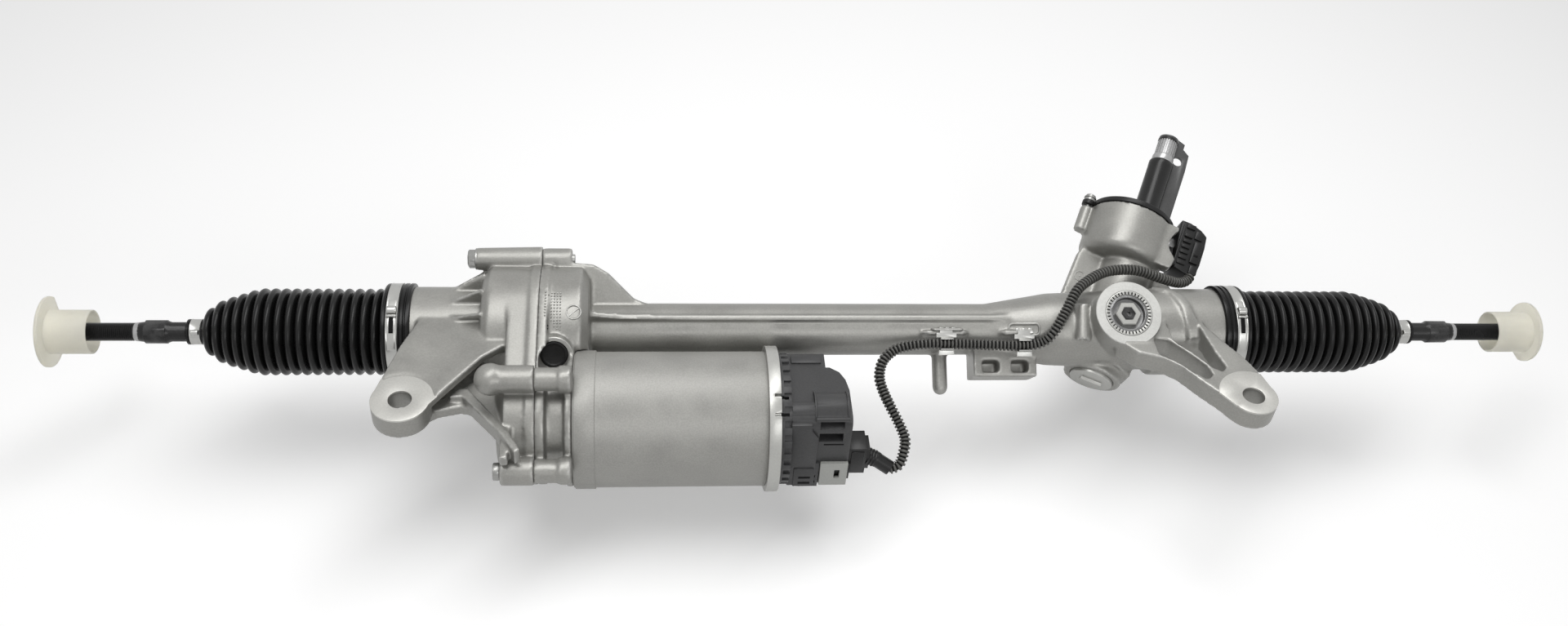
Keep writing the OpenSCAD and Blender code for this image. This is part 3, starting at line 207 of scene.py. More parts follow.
def make_grain_group():
    """Fine pebbled skin of sand, die or plastic moulds, as a height for a Bump node."""
    tree, start, end = new_group("mould grain", {"Size": 900.0}, ["Height"])
    place = object_place(tree)
    size = start.outputs["Size"]
    fine = noise(tree, place, size, 4, 0.65)
    cells = tree.nodes.new("ShaderNodeTexVoronoi")
    tree.links.new(place, cells.inputs["Vector"])
    tree.links.new(maths(tree, "MULTIPLY", size, 0.8), cells.inputs["Scale"])
    pebbles = spread(tree, cells.outputs["Distance"], 0.1, 0.7)
    fine, pebbles = maths(tree, "MULTIPLY", fine, 0.6), maths(tree, "MULTIPLY", pebbles, 0.4)
    tree.links.new(maths(tree, "ADD", fine, pebbles), end.inputs["Height"])
    return tree


def make_tone_group():
    """Cloudy light and dark patches over a colour, from broad casting tones down to specks."""
    tree, start, end = new_group(
        "surface tone",
        {"Color": (1, 1, 1, 1), "Clouds": 0.1, "Specks": 0.1, "Speck size": 700.0},
        ["Color", "Cloud"],
    )
    place = object_place(tree)
    cloud = spread(tree, noise(tree, place, 34.0, 3, 0.55), 0.3, 0.7, -1, 1)
    speck = spread(tree, noise(tree, place, start.outputs["Speck size"], 2, 0.5), 0.35, 0.65, -1, 1)
    change = maths(tree, "ADD", maths(tree, "MULTIPLY", cloud, start.outputs["Clouds"]),
                   maths(tree, "MULTIPLY", speck, start.outputs["Specks"]))
    gain = maths(tree, "ADD", change, 1.0)
    mixed = tree.nodes.new("ShaderNodeVectorMath")
    mixed.operation = "SCALE"
    tree.links.new(start.outputs["Color"], mixed.inputs[0])
    tree.links.new(gain, mixed.inputs["Scale"])
    tree.links.new(mixed.outputs[0], end.inputs["Color"])
    tree.links.new(cloud, end.inputs["Cloud"])
    return tree


def make_edge_wear_highlight_group():
    """Mask of brighter edges: partly real wear, partly a painted highlight along the bevels."""
    tree, start, end = new_group("edge wear and painted highlight", {"Amount": 0.5}, ["Mask"])
    place = object_place(tree)
    point = tree.nodes.new("ShaderNodeNewGeometry").outputs["Pointiness"]
    edge = spread(tree, point, 0.51, 0.56)
    broken = spread(tree, noise(tree, place, 160.0, 3, 0.6), 0.35, 0.6)
    tree.links.new(maths(tree, "MULTIPLY", maths(tree, "MULTIPLY", edge, broken), start.outputs["Amount"]),
                   end.inputs["Mask"])
    return tree


GRAIN = make_grain_group()
TONE = make_tone_group()
EDGE_WEAR_HIGHLIGHT = make_edge_wear_highlight_group()


def use_group(tree, group, **values):
    """Places a node group in a material, with its own values by input name."""
    node = tree.nodes.new("ShaderNodeGroup")
    node.node_tree = group
    return set_inputs(node, **values)


# Materials


def add_bump(tree, shader, height, strength, distance):
    bump = tree.nodes.new("ShaderNodeBump")
    set_inputs(bump, Strength=strength, Distance=distance * MM)
    tree.links.new(height, bump.inputs["Height"])
    tree.links.new(bump.outputs["Normal"], shader.inputs["Normal"])


def new_material(name, rough, metal=0.0, **plain):
    """A Principled material. Plain values go on the shader's own sockets."""
    material = bpy.data.materials.new(name)
    material.use_nodes = True
    shader = material.node_tree.nodes["Principled BSDF"]
    return material, material.node_tree, set_inputs(shader, Roughness=rough, Metallic=metal, **plain)


def finished(name, color, rough, metal=0.0, shine=0.5, clouds=0.06, specks=0.05, speck_size=700.0,
             grain=900.0, depth=0.1, edge_wear_highlight=0.0, worn_and_highlight_color=(0.8, 0.8, 0.79), rough_swing=0.08):
    """A surface with cloudy tone, mould grain, uneven gloss, and brighter edges that are partly wear and
    partly painted highlight.
    """
    material, tree, shader = new_material(name, rough, metal, Specular_IOR_Level=shine)
    tone = use_group(tree, TONE, Color=(*color, 1), Clouds=clouds, Specks=specks, Speck_size=speck_size)
    skin = use_group(tree, GRAIN, Size=grain)
    colour = tone.outputs["Color"]
    # Brighter edges, partly wear and partly painted highlight
    if edge_wear_highlight:
        edge = use_group(tree, EDGE_WEAR_HIGHLIGHT, Amount=edge_wear_highlight)
        mix = tree.nodes.new("ShaderNodeMix")
        mix.data_type = "RGBA"
        mix.inputs[7].default_value = (*worn_and_highlight_color, 1)
        tree.links.new(edge.outputs["Mask"], mix.inputs[0])
        tree.links.new(colour, mix.inputs[6])
        colour = mix.outputs[2]
    tree.links.new(colour, shader.inputs["Base Color"])
    uneven = spread(tree, tone.outputs["Cloud"], -1, 1, rough - rough_swing, rough + rough_swing)
    tree.links.new(uneven, shader.inputs["Roughness"])
    add_bump(tree, shader, skin.outputs["Height"], depth, 0.2)
    return material


def machined(name, centre, axis_turn, color, rough, pitch=0.9):
    """Bright metal with the rings that a cutting tool leaves about a centre."""
    material, tree, shader = new_material(name, rough, 0.75)
    place = object_place(tree)
    mapping = tree.nodes.new("ShaderNodeMapping")
    mapping.vector_type = "TEXTURE"
    set_inputs(mapping, Location=centre, Rotation=axis_turn)
    tree.links.new(place, mapping.inputs["Vector"])
    waves = tree.nodes.new("ShaderNodeTexWave")
    waves.wave_type = "RINGS"
    waves.rings_direction = "Z"
    set_inputs(waves, Scale=math.pi / (10 * pitch * MM), Distortion=0.6, Detail=2)
    tree.links.new(mapping.outputs[0], waves.inputs["Vector"])
    tone = use_group(tree, TONE, Color=(*color, 1), Clouds=0.06, Specks=0.04)
    tree.links.new(tone.outputs["Color"], shader.inputs["Base Color"])
    uneven = spread(tree, waves.outputs["Fac"], 0, 1, rough - 0.07, rough + 0.07)
    tree.links.new(uneven, shader.inputs["Roughness"])
    add_bump(tree, shader, waves.outputs["Fac"], 0.25, 0.05)
    return material


cast_metal = finished("cast aluminium", (0.275, 0.272, 0.255), 0.4, 0.5, clouds=0.09, specks=0.05,
                      grain=800, depth=0.3, edge_wear_highlight=0.45, worn_and_highlight_color=(0.62, 0.62, 0.60))
motor_metal = finished("motor casting", (0.30, 0.297, 0.28), 0.48, 0.4, clouds=0.09, specks=0.06,
                       speck_size=900, grain=900, depth=0.3)
plate_metal = finished("bright aluminium", (0.42, 0.42, 0.40), 0.36, 0.6, clouds=0.04, specks=0.03,
                       grain=900, depth=0.12)
steel = finished("ground steel", (0.36,) * 3, 0.32, 0.9, clouds=0.08, specks=0.03, depth=0.05)
bright_steel = finished("plated steel", (0.42, 0.42, 0.405), 0.3, 0.9, clouds=0.03, specks=0.0, depth=0.0,
                        rough_swing=0.03)
clip_steel = finished("clip spring steel", (0.40, 0.40, 0.385), 0.32, 0.9, clouds=0.03, specks=0.02,
                      depth=0.03)
bolt_steel = finished("dark plated bolt", (0.30, 0.30, 0.29), 0.36, 0.8, clouds=0.12, specks=0.06, depth=0.1)
# Painted highlight: grey edges on the black steel stand in for the highlights along its bevels
black_steel = finished("blackened steel", (0.014,) * 3, 0.28, 0.2, 0.3, clouds=0.15, specks=0.08,
                       edge_wear_highlight=0.2, worn_and_highlight_color=(0.2,) * 3)
dark_steel = finished("forged steel", (0.17,) * 3, 0.36, 0.7, clouds=0.12, specks=0.06, depth=0.15,
                      edge_wear_highlight=0.3, worn_and_highlight_color=(0.45, 0.45, 0.44))
unit_plastic = finished("control unit moulding", (0.040, 0.040, 0.041), 0.44, 0.0, 0.35, clouds=0.08,
                        specks=0.08, grain=1500, depth=0.3)
black_plastic = finished("black plastic", (0.010,) * 3, 0.34, 0.0, 0.28, clouds=0.1, specks=0.06,
                         grain=1600, depth=0.2)
sleeve_plastic = finished("sleeve plastic", (0.085, 0.084, 0.078), 0.38, 0.0, 0.4, clouds=0.15, specks=0.1,
                          grain=1400, depth=0.3)
grey_plastic = finished("grey plastic", (0.20, 0.205, 0.19), 0.42, 0.0, clouds=0.06, specks=0.06,
                        grain=1500, depth=0.2)
fin_plastic = finished("guard fin", (0.075,) * 3, 0.36, 0.2, 0.4, clouds=0.1,
                       grain=1500, depth=0.15)
rubber = finished("bellows rubber", (0.005,) * 3, 0.27, 0.0, 0.22, clouds=0.12, specks=0.08,
                  grain=500, depth=0.12, rough_swing=0.06)
green_board = finished("circuit board", (0.03, 0.16, 0.07), 0.35, 0.0)
copper_wire = finished("copper windings", (0.6, 0.28, 0.14), 0.35, 0.8)
magnet_black = finished("magnet", (0.08, 0.08, 0.085), 0.5, 0.3)
seat_plastic = finished("ball seat plastic", (0.8, 0.79, 0.7), 0.4, 0.0)


def milky_plastic():
    """Thin natural plastic that lets a blurred light through."""
    material, tree, shader = new_material("milky plastic", 0.38, 0.0, Transmission_Weight=0.45, IOR=1.2,
                                          Subsurface_Weight=0.25, Subsurface_Scale=0.004,
                                          Subsurface_Radius=(1.0, 1.0, 0.9))
    tone = use_group(tree, TONE, Color=(0.93, 0.91, 0.82, 1), Clouds=0.03, Specks=0.01)
    tree.links.new(tone.outputs["Color"], shader.inputs["Base Color"])
    skin = use_group(tree, GRAIN, Size=300.0)
    add_bump(tree, shader, skin.outputs["Height"], 0.15, 0.1)
    return material


milky = milky_plastic()
header_plastic = finished("header plastic", (0.36, 0.365, 0.345), 0.42, clouds=0.04, specks=0.03)
satin_black = finished("satin black", (0.010,) * 3, 0.28, 0.0, 0.3, clouds=0.1, specks=0.04,
                       depth=0.08)
thread_black = finished("phosphated thread", (0.014,) * 3, 0.26, 0.2, 0.35, clouds=0.1,
                        specks=0.06, depth=0.05)
plug_black = finished("plug rubber", (0.014,) * 3, 0.4, 0.0, 0.25, clouds=0.1, specks=0.08)
# Painted shade: a near-black that stands in for the shade inside slots, grooves and notches
painted_shade_black = finished("painted recess shade", (0.004,) * 3, 0.6, 0.0, 0.1)
ear_metal = {side: machined("ear face", mm(side * EAR_X, 0, EAR_TOP), (0, 0, 0), (0.46, 0.455, 0.43), 0.4)
             for side in (-1, 1)}
yoke_metal = machined("yoke boss face", on_yoke(0).translation, (math.radians(PINION_TILT), 0, 0),
                      (0.50, 0.50, 0.48), 0.4)

# Finish of each CAD node that stays in view or inside
NODE_FINISH = (
    (cast_metal, "main_housing belt_housing"),
    (motor_metal, "motor_casing"),
    (plate_metal, "motor_end_plate blanking_plug pinion_plug yoke yoke_lock_ring"),
    (steel, "rack_bush stator_core motor_front_bearing motor_rear_bearing pinion_upper_bearing"),
    (steel, "pinion_lower_bearing yoke_spring nut_bearing rack_bar left_ball_socket right_ball_socket"),
    (steel, "pinion_shaft torsion_bar ball_nut ball_train motor_shaft"),
    (bright_steel, "cable_clips left_big_clamp right_big_clamp pinion_nut input_shaft"),
    (bright_steel, "left_small_clamp right_small_clamp"),
    (bolt_steel, "through_bolts cover_screws"),
    (dark_steel, "yoke_plug left_tie_rod right_tie_rod"),
    (rubber, "stop_dampers drive_belt left_bellows right_bellows"),
    (unit_plastic, "ecu_housing"),
    (black_plastic, "ecu_plug sensor_plug sensor_cover shaft_guard driven_pulley drive_pulley"),
    (grey_plastic, "ecu_header"),
    (sleeve_plastic, "sensor_cable"),
    (seat_plastic, "left_ball_seat right_ball_seat"),
    (milky, "left_cap right_cap"),
    (green_board, "ecu_board sensor_board"),
    (copper_wire, "stator_windings"),
    (magnet_black, "sensor_magnet rotor_magnets"),
)
for material, node_names in NODE_FINISH:
    for node_name in node_names.split():
        nodes[node_name].data.materials.clear()
        nodes[node_name].data.materials.append(material)

# Modelling helpers


def edit_mode():
    bpy.ops.object.mode_set(mode="EDIT")


def object_mode():
    bpy.ops.object.mode_set(mode="OBJECT")


def select_all():
    bpy.ops.mesh.select_all(action="SELECT")


def deselect():
    if bpy.context.object and bpy.context.object.mode != "OBJECT":
        object_mode()
    bpy.ops.object.select_all(action="DESELECT")


def pick(obj):
    deselect()
    obj.select_set(True)
    bpy.context.view_layer.objects.active = obj


def apply_modifiers(obj):
    pick(obj)
    for modifier in list(obj.modifiers):
        bpy.ops.object.modifier_apply(modifier=modifier.name)


def rounded(obj, width, angle=None, segments=2):
    """Rounds a piece's edges, or only those sharper than an angle, when its modifiers are applied."""
    bevel = obj.modifiers.new("round", "BEVEL")
    bevel.width = width * MM
    bevel.segments = segments
    if angle:
        bevel.limit_method = "ANGLE"
        bevel.angle_limit = math.radians(angle)


def face_out(obj):
    pick(obj)
    edit_mode()
    select_all()
    bpy.ops.mesh.normals_make_consistent(inside=False)
    object_mode()


def settle(obj, place, smooth=35):
    """Puts a piece modelled at the origin in its place, with the place in its mesh."""
    pick(obj)
    obj.matrix_world = place @ obj.matrix_world
    bpy.ops.object.transform_apply(location=True, rotation=True, scale=True)
    bpy.ops.object.shade_smooth_by_angle(angle=math.radians(smooth))


def dress(obj, material, slot, body, *replaced):
    """Finish and body of a new piece, and the CAD nodes that it stands for. The slot is not used."""
    obj.data.materials.clear()
    obj.data.materials.append(material)
    if body:
        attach(obj, body)
    if replaced:
        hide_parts(*replaced)
    return obj


def dress_cast(obj, *replaced):
    dress(obj, cast_metal, "cast_aluminium", "housing", *replaced)


def outline_start(name):
    """A mesh of one vertex at the origin, in edit mode, ready to be extruded along an outline."""
    deselect()
    bpy.ops.mesh.primitive_plane_add(size=MM)
    obj = bpy.context.object
    obj.name = obj.data.name = name
    edit_mode()
    select_all()
    bpy.ops.mesh.merge(type="CENTER")
    return obj


def draw(points):
    """Extrudes the selected vertex from point to point, in mm."""
    bpy.ops.transform.translate(value=mm(*points[0]))
    for a, b in zip(points, points[1:]):
        bpy.ops.mesh.extrude_region_move(TRANSFORM_OT_translate={"value": mm(*b) - mm(*a)})


def turned(name, place, profile, steps=96, closed=True):
    """Turns a profile of (radius, height) pairs about the place's z axis."""
    obj = outline_start(name)
    draw([(r, 0, z) for r, z in (list(profile) + [profile[0]] if closed else profile)])
    select_all()
    bpy.ops.mesh.remove_doubles(threshold=0.001 * MM)
    select_all()
    bpy.ops.mesh.spin(steps=steps, angle=FULL_TURN, center=(0, 0, 0), axis=(0, 0, 1))
    select_all()
    bpy.ops.mesh.remove_doubles(threshold=0.001 * MM)
    bpy.ops.mesh.normals_make_consistent(inside=False)
    object_mode()
    settle(obj, place)
    return obj


def free_copy(node, name):
    """A copy of a CAD node that can be changed, with its doubled points merged, in edit mode."""
    deselect()
    obj = bpy.data.objects.new(name, nodes[node].data.copy())
    obj.data.name = name
    link(obj)
    pick(obj)
    edit_mode()
    select_all()
    bpy.ops.mesh.remove_doubles(threshold=0.001 * MM)
    return obj


def softened(node, width):
    """A copy of a CAD node with its sharp edges rounded off."""
    obj = free_copy(node, node + "_soft")
    bpy.ops.mesh.dissolve_limited(angle_limit=math.radians(1.2))
    object_mode()
    rounded(obj, width, 32)
    apply_modifiers(obj)
    settle(obj, HERE, 40)
    return obj


def cast_skin(node, voxel, passes=7, most=190000):
    """A copy of a casting remeshed and eased, so that every inner corner gets the fillet of its mould."""
    obj = free_copy(node, node + "_casting")
    object_mode()
    remesh = obj.modifiers.new("skin", "REMESH")
    remesh.mode = "VOXEL"
    remesh.voxel_size = voxel * MM
    ease = obj.modifiers.new("ease", "SMOOTH")
    ease.factor = 0.5
    ease.iterations = passes
    apply_modifiers(obj)
    triangles = 2 * len(obj.data.polygons)
    if triangles > most:
        thin = obj.modifiers.new("thin", "DECIMATE")
        thin.ratio = most / triangles
        apply_modifiers(obj)
    settle(obj, HERE, 60)
    return obj


def mirrored(obj):
    """The piece on the other side of the middle plane, turned right side out."""
    pick(obj)
    obj.scale.x = -1
    bpy.ops.object.transform_apply(location=False, rotation=False, scale=True)
    face_out(obj)
    return obj


def on_side(side, *pieces):
    """Pieces modelled on the right, mirrored where they belong on the left."""
    return [mirrored(piece) if side < 0 else piece for piece in pieces]


def joined(name, *pieces):
    """One mesh of several, which keep their own materials."""
    deselect()
    for piece in pieces:
        piece.select_set(True)
    bpy.context.view_layer.objects.active = pieces[0]
    bpy.ops.object.join()
    obj = bpy.context.object
    obj.name = obj.data.name = name
    return obj


def strip(name, place, radius, width, thick, from_angle, to_angle, steps, slots=(), lift=0.0):
    """A bent strip of sheet about the z axis, with slots cut through its middle, or arched up by lift."""
    obj = outline_start(name)
    edge = width * 0.24
    draw([(radius, 0, 0), (radius, 0, edge), (radius, 0, width - edge), (radius, 0, width)])
    select_all()
    bpy.ops.transform.rotate(value=math.radians(-from_angle), orient_axis="Z", center_override=(0, 0, 0))
    arc = math.radians(to_angle - from_angle)
    bpy.ops.mesh.spin(steps=steps, angle=-arc, center=(0, 0, 0), axis=(0, 0, 1))
    object_mode()
    middle = [p for p in obj.data.polygons if abs(p.center.z - width * MM / 2) < 0.1 * MM]
    for face in obj.data.polygons:
        face.select = False
    for face in middle:
        around = math.atan2(face.center.y, face.center.x) - math.radians(from_angle)
        number = round(around / arc * steps - 0.5)
        face.select = any(0 <= number - slot < 2 for slot in slots)
    edit_mode()
    bpy.context.tool_settings.mesh_select_mode = (False, False, True)
    if slots:
        bpy.ops.mesh.delete(type="ONLY_FACE")
    bpy.context.tool_settings.mesh_select_mode = (True, False, False)
    select_all()
    bpy.ops.mesh.delete_loose()
    object_mode()
    if lift:
        for vertex in obj.data.vertices:
            along = (math.atan2(vertex.co.y, vertex.co.x) - math.radians(from_angle)) / arc
            arch = math.sin(math.pi * min(max(along, 0), 1)) ** 0.5
            vertex.co.xy *= 1 + lift * arch / radius
    wall = obj.modifiers.new("wall", "SOLIDIFY")
    wall.thickness = thick * MM
    wall.offset = 1
    rounded(obj, 0.15, 30)
    apply_modifiers(obj)
    face_out(obj)
    settle(obj, place)
    return obj


# Castings

for node_name, voxel in (("main_housing", 1.3), ("belt_housing", 1.1)):
    dress_cast(cast_skin(node_name, voxel), node_name)

# Sensor cable

CABLE_ROUTE = [
    (44, -109, -41), (52, -107, -38), (56, -99, -31), (57, -91, -26), (53, -81, -20), (47, -70, -13),
    (42, -57, -8), (40, -47, -3), (43, -37, 3), (51, -30, 7), (62, -27, 10), (82, -26, 12), (121, -26, 11),
    (153, -28, 12), (169, -28, 15), (178, -25, 23), (188, -13, 33), (199, 3, 42), (213, 16, 43),
    (228, 26, 42), (244, 31, 40), (259, 33, 37), (278, 34, 29), (296, 38, 20), (306, 43, 17), (311, 48, 18),
]
CABLE_R = 4.35
RIB_PITCH = 3
RIB_DEPTH = 1.5


def smooth_route(points, steps):
    """Points at even parts of each span of the smooth curve through a route."""
    points = [Vector(p) for p in points]
    last = len(points) - 1
    found = []
    for i in range(last):
        a, b, c, d = points[max(i - 1, 0)], points[i], points[i + 1], points[min(i + 2, last)]
        for step in range(steps):
            f = step / steps
            found.append(0.5 * (2 * b + (c - a) * f + (2 * a - 5 * b + 4 * c - d) * f * f
                                + (3 * b - a - 3 * c + d) * f ** 3))
    return found + [points[last]]


def add_curve(name, points):
    """A curve through points in metres, and its length."""
    data = bpy.data.curves.new(name, "CURVE")
    data.dimensions = "3D"
    spline = data.splines.new("POLY")
    spline.points.add(len(points) - 1)
    for knot, point in zip(spline.points, points):
        knot.co = (*point, 1)
    obj = bpy.data.objects.new(name, data)
    link(obj)
    return obj, sum((b - a).length for a, b in zip(points, points[1:]))


def bent_sleeve(name, profile, pitch, count, route):
    """A profile of one pitch turned about the route, repeated and bent along it, with closed ends."""
    sleeve = turned(name, turned_by(90, "Y"), profile, steps=20, closed=False)
    repeat = sleeve.modifiers.new("ribs", "ARRAY")
    repeat.count = count
    repeat.use_relative_offset = False
    repeat.use_constant_offset = True
    repeat.constant_offset_displace = (pitch * MM, 0, 0)
    repeat.use_merge_vertices = True
    repeat.merge_threshold = 0.01 * MM
    bend = sleeve.modifiers.new("bend", "CURVE")
    bend.object = route
    bend.deform_axis = "POS_X"
    apply_modifiers(sleeve)
    edit_mode()
    bpy.ops.mesh.select_all(action="DESELECT")
    bpy.ops.mesh.select_non_manifold()
    bpy.ops.mesh.fill_holes(sides=0)
    face_out(sleeve)
    return sleeve


def add_cable():
    """Corrugated sleeve: round ribs over a near-black core that paints the shade in the grooves between them.
    """
    points = [in_rack(*p).translation for p in smooth_route(CABLE_ROUTE, 8)]
    route, length = add_curve("cable_route", points)
    ribs = round(length / (RIB_PITCH * MM))
    pitch = length / ribs / MM
    groove = CABLE_R - RIB_DEPTH
    groove_shade_r = groove + 0.12
    cable = bent_sleeve("sensor_cable_sleeve", [
        (groove, 0), (groove, 0.2 * pitch), (CABLE_R - 0.3, 0.3 * pitch), (CABLE_R, 0.42 * pitch),
        (CABLE_R, 0.66 * pitch), (CABLE_R - 0.3, 0.78 * pitch), (groove, 0.88 * pitch), (groove, pitch),
    ], pitch, ribs, route)
    groove_shade_line = [(groove_shade_r, 0), (groove_shade_r, 0.5 * pitch), (groove_shade_r, pitch)]
    core = bent_sleeve("sensor_cable_groove_shade", groove_shade_line, pitch, ribs, route)
    bpy.data.objects.remove(route)
    dress(cable, sleeve_plastic, "sleeve_plastic", "housing", "sensor_cable")
    # Painted shade: the near-black core shows between the ribs as the shade in the grooves
    dress(core, painted_shade_black, "sleeve_plastic", "housing")


add_cable()

# Bellows

NECK_R = 35
CUFF_X = 318
FOLDS_X = 341
NOSE_X = 475
FOLDS = 17
FOLD_PITCH = (NOSE_X - FOLDS_X) / FOLDS
FOLD_R = 33.5
FOLD_DEPTH = 6.2
TAPER = (1.5, 4, 6.5, 9.5, 15)
SPLIT = 13
RUBBER_WALL = 1.6
ROD_R = 7.5


def fold_radius(k):
    return FOLD_R - (0 if k < FOLDS - len(TAPER) else TAPER[k - FOLDS + len(TAPER)])


def fold_outline(first, last, wall=0.0, steps=10):
    """Round crests and narrow valleys of the folds from first up to last."""
    points = []
    for k in range(first, last):
        foot = fold_radius(k) - FOLD_DEPTH - wall
        for j in range(steps):
            rise = math.sin(math.pi * j / steps) ** 0.55
            points.append((foot + FOLD_DEPTH * rise, FOLDS_X + (k + j / steps) * FOLD_PITCH))
    return points


def add_bellows(name, side):
    """Cuff and folds from the neck, then folds and nose about the tie rod, turned as two pieces."""
    split_x = FOLDS_X + SPLIT * FOLD_PITCH
    foot = fold_radius(SPLIT) - FOLD_DEPTH
    wide = [(NECK_R + r, CUFF_X + x) for r, x in (
        (1.4, 0), (2.6, 0.6), (2.8, 1.4), (2.8, 3), (1.9, 3.8), (1.9, 4.4), (2.8, 5.2), (2.8, 7), (2, 8),
        (2, 18), (2.6, 18.6), (2.6, 20.2), (1.5, 21.4),
    )]
    wide += fold_outline(0, SPLIT) + [(foot, split_x), (foot - RUBBER_WALL, split_x)]
    wide += fold_outline(0, SPLIT, RUBBER_WALL, 4)[::-1]
    wide += [(NECK_R + 0.05, CUFF_X + 13), (NECK_R + 0.05, CUFF_X)]
    slim = [(foot - RUBBER_WALL, split_x), (foot, split_x)] + fold_outline(SPLIT, FOLDS)[1:]
    slim += [(ROD_R + r, NOSE_X + x) for r, x in (
        (4.6, -0.5), (3.4, 1), (1.7, 1.8), (1.5, 11.5), (2.3, 12), (2.3, 13.5), (1.6, 14), (0.05, 14),
        (0.05, 0),
    )]
    slim += fold_outline(SPLIT, FOLDS, RUBBER_WALL, 4)[::-1]
    for part, profile, a, b, start, end in (
        ("stretch", wide, "housing", "rack", CUFF_X + 22, split_x),
        ("nose", slim, "rack", name + "_tie", split_x, NOSE_X),
    ):
        piece, = on_side(side, turned(name + "_bellows_" + part, on_rack(0), profile, 120))
        dress(piece, rubber, "black_rubber", None, name + "_bellows")
        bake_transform(piece)


for side_name, side in SIDES:
    add_bellows(side_name, side)

# Clamps

BAND_X = CUFF_X + 9
BAND_W = 8.5
BAND_R = NECK_R + 2.05


def add_big_clamp(name, side):
    """Band with a bent loop and a slotted strap end, over a near-black strip that paints the shade inside the
    slots.
    """
    band = turned("band", on_rack(BAND_X), [(BAND_R + r, x) for r, x in (
        (0, 0), (0.75, 0), (0.95, 0.35), (0.7, 0.8), (0.7, BAND_W - 0.8), (0.95, BAND_W - 0.35),
        (0.75, BAND_W), (0, BAND_W),
    )], 120)
    strap = strip("strap", on_rack(BAND_X + 1.2), BAND_R + 0.75, BAND_W - 2.4, 0.7, 96, 158, 31, (13, 16, 19))
    loop = strip("loop", on_rack(BAND_X + 1.0), BAND_R + 1.4, BAND_W - 2.0, 0.8, 106, 116, 8, lift=3.2)
    fold = strip("fold", on_rack(BAND_X + 0.6), BAND_R + 1.5, BAND_W - 1.2, 0.9, 117, 120, 4, lift=1.4)
    piece = joined(name + "_band_clamp", band, strap, loop, fold)
    # Painted shade: a near-black strip under the strap's slots
    floor = strip(name + "_band_slot_shade", on_rack(BAND_X + 2.6), BAND_R + 1.1, BAND_W - 5.2, 0.14, 120, 138, 9)
    piece, floor = on_side(side, piece, floor)
    dress(piece, bright_steel, "zinc_steel", "housing", name + "_big_clamp")
    dress(floor, painted_shade_black, "zinc_steel", "housing")


for side_name, side in SIDES:
    add_big_clamp(side_name, side)

# Softened CAD pieces

# Finish, slot and body of the pieces that keep the CAD's shape, with each one's rounding
SOFT_PIECES = (
    (motor_metal, "cast_aluminium", "housing", {"motor_casing": 0.8}),
    (plate_metal, "machined_aluminium", "housing",
     {"motor_end_plate": 0.8, "pinion_plug": 0.5, "yoke_lock_ring": 0.15}),
    (bolt_steel, "forged_steel", "housing", {"through_bolts": 0.5}),
    (bolt_steel, "black_plastic", "housing", {"cover_screws": 0.5}),
    (dark_steel, "forged_steel", "housing", {"yoke_plug": 0.4}),
    (unit_plastic, "unit_plastic", "housing", {"ecu_housing": 0.9}),
    (header_plastic, "grey_plastic", "housing", {"ecu_header": 0.6}),
    (black_plastic, "black_plastic", "housing", {"ecu_plug": 0.9, "sensor_plug": 1.0, "sensor_cover": 0.5}),
    (clip_steel, "zinc_steel", "housing", {"cable_clips": 0.2}),
    (fin_plastic, "unit_plastic", "pinion", {"shaft_guard": 0.5}),
    (steel, "forged_steel", "pinion", {"input_shaft": 0.2}),
    (milky, "milky_plastic", "left_cap_body", {"left_cap": 0.35}),
    (milky, "milky_plastic", "right_cap_body", {"right_cap": 0.35}),
)
for material, slot_name, body, roundings in SOFT_PIECES:
    for node_name, rounding in roundings.items():
        dress(softened(node_name, rounding), material, slot_name, body, node_name)


def slab(name, place, low, high, rounding=0.5, segments=2):
    """A block between two corners of the place's frame, in mm, with rounded edges."""
    deselect()
    bpy.ops.mesh.primitive_cube_add(size=1)
    obj = bpy.context.object
    obj.name = obj.data.name = name
    obj.scale = mm(*(b - a for a, b in zip(low, high)))
    obj.location = mm(*((a + b) / 2 for a, b in zip(low, high)))
    bpy.ops.object.transform_apply(location=True, rotation=True, scale=True)
    rounded(obj, rounding, segments=segments)
    apply_modifiers(obj)
    settle(obj, place)
    return obj


def plate(name, place, outline, low, high, rounding=0.4):
    """A plate of the outline given in the place's x and y, from height low to high, with rounded edges."""
    obj = outline_start(name)
    draw([(x, y, low) for x, y in outline])
    select_all()
    bpy.ops.mesh.edge_face_add()
    bpy.ops.mesh.extrude_region_move(TRANSFORM_OT_translate={"value": mm(0, 0, high - low)})
    face_out(obj)
    rounded(obj, rounding, 25)
    apply_modifiers(obj)
    settle(obj, place)
    return obj


def washer(name, place, r_in, r_out, low, high, chamfer=0.3, steps=96):
    """A flat ring about the place's z axis with chamfered rims."""
    return turned(name, place, [
        (r_in, low), (r_in, high - chamfer), (r_in + chamfer, high), (r_out - chamfer, high),
        (r_out, high - chamfer), (r_out, low),
    ], steps)


def copies(obj, places):
    """Copies of a piece modelled at the origin, one at each place, joined to one mesh."""
    made = []
    for place in places:
        twin = obj.copy()
        twin.data = obj.data.copy()
        link(twin)
        settle(twin, place)
        made.append(twin)
    bpy.data.objects.remove(obj)
    return joined(made[0].name, *made)


def skin_tree(node):
    world, mesh = nodes[node].matrix_world, nodes[node].data
    corners = [tuple(p.vertices) for p in mesh.polygons]
    return BVHTree.FromPolygons([world @ v.co for v in mesh.vertices], corners)


SKIN = skin_tree("main_housing")


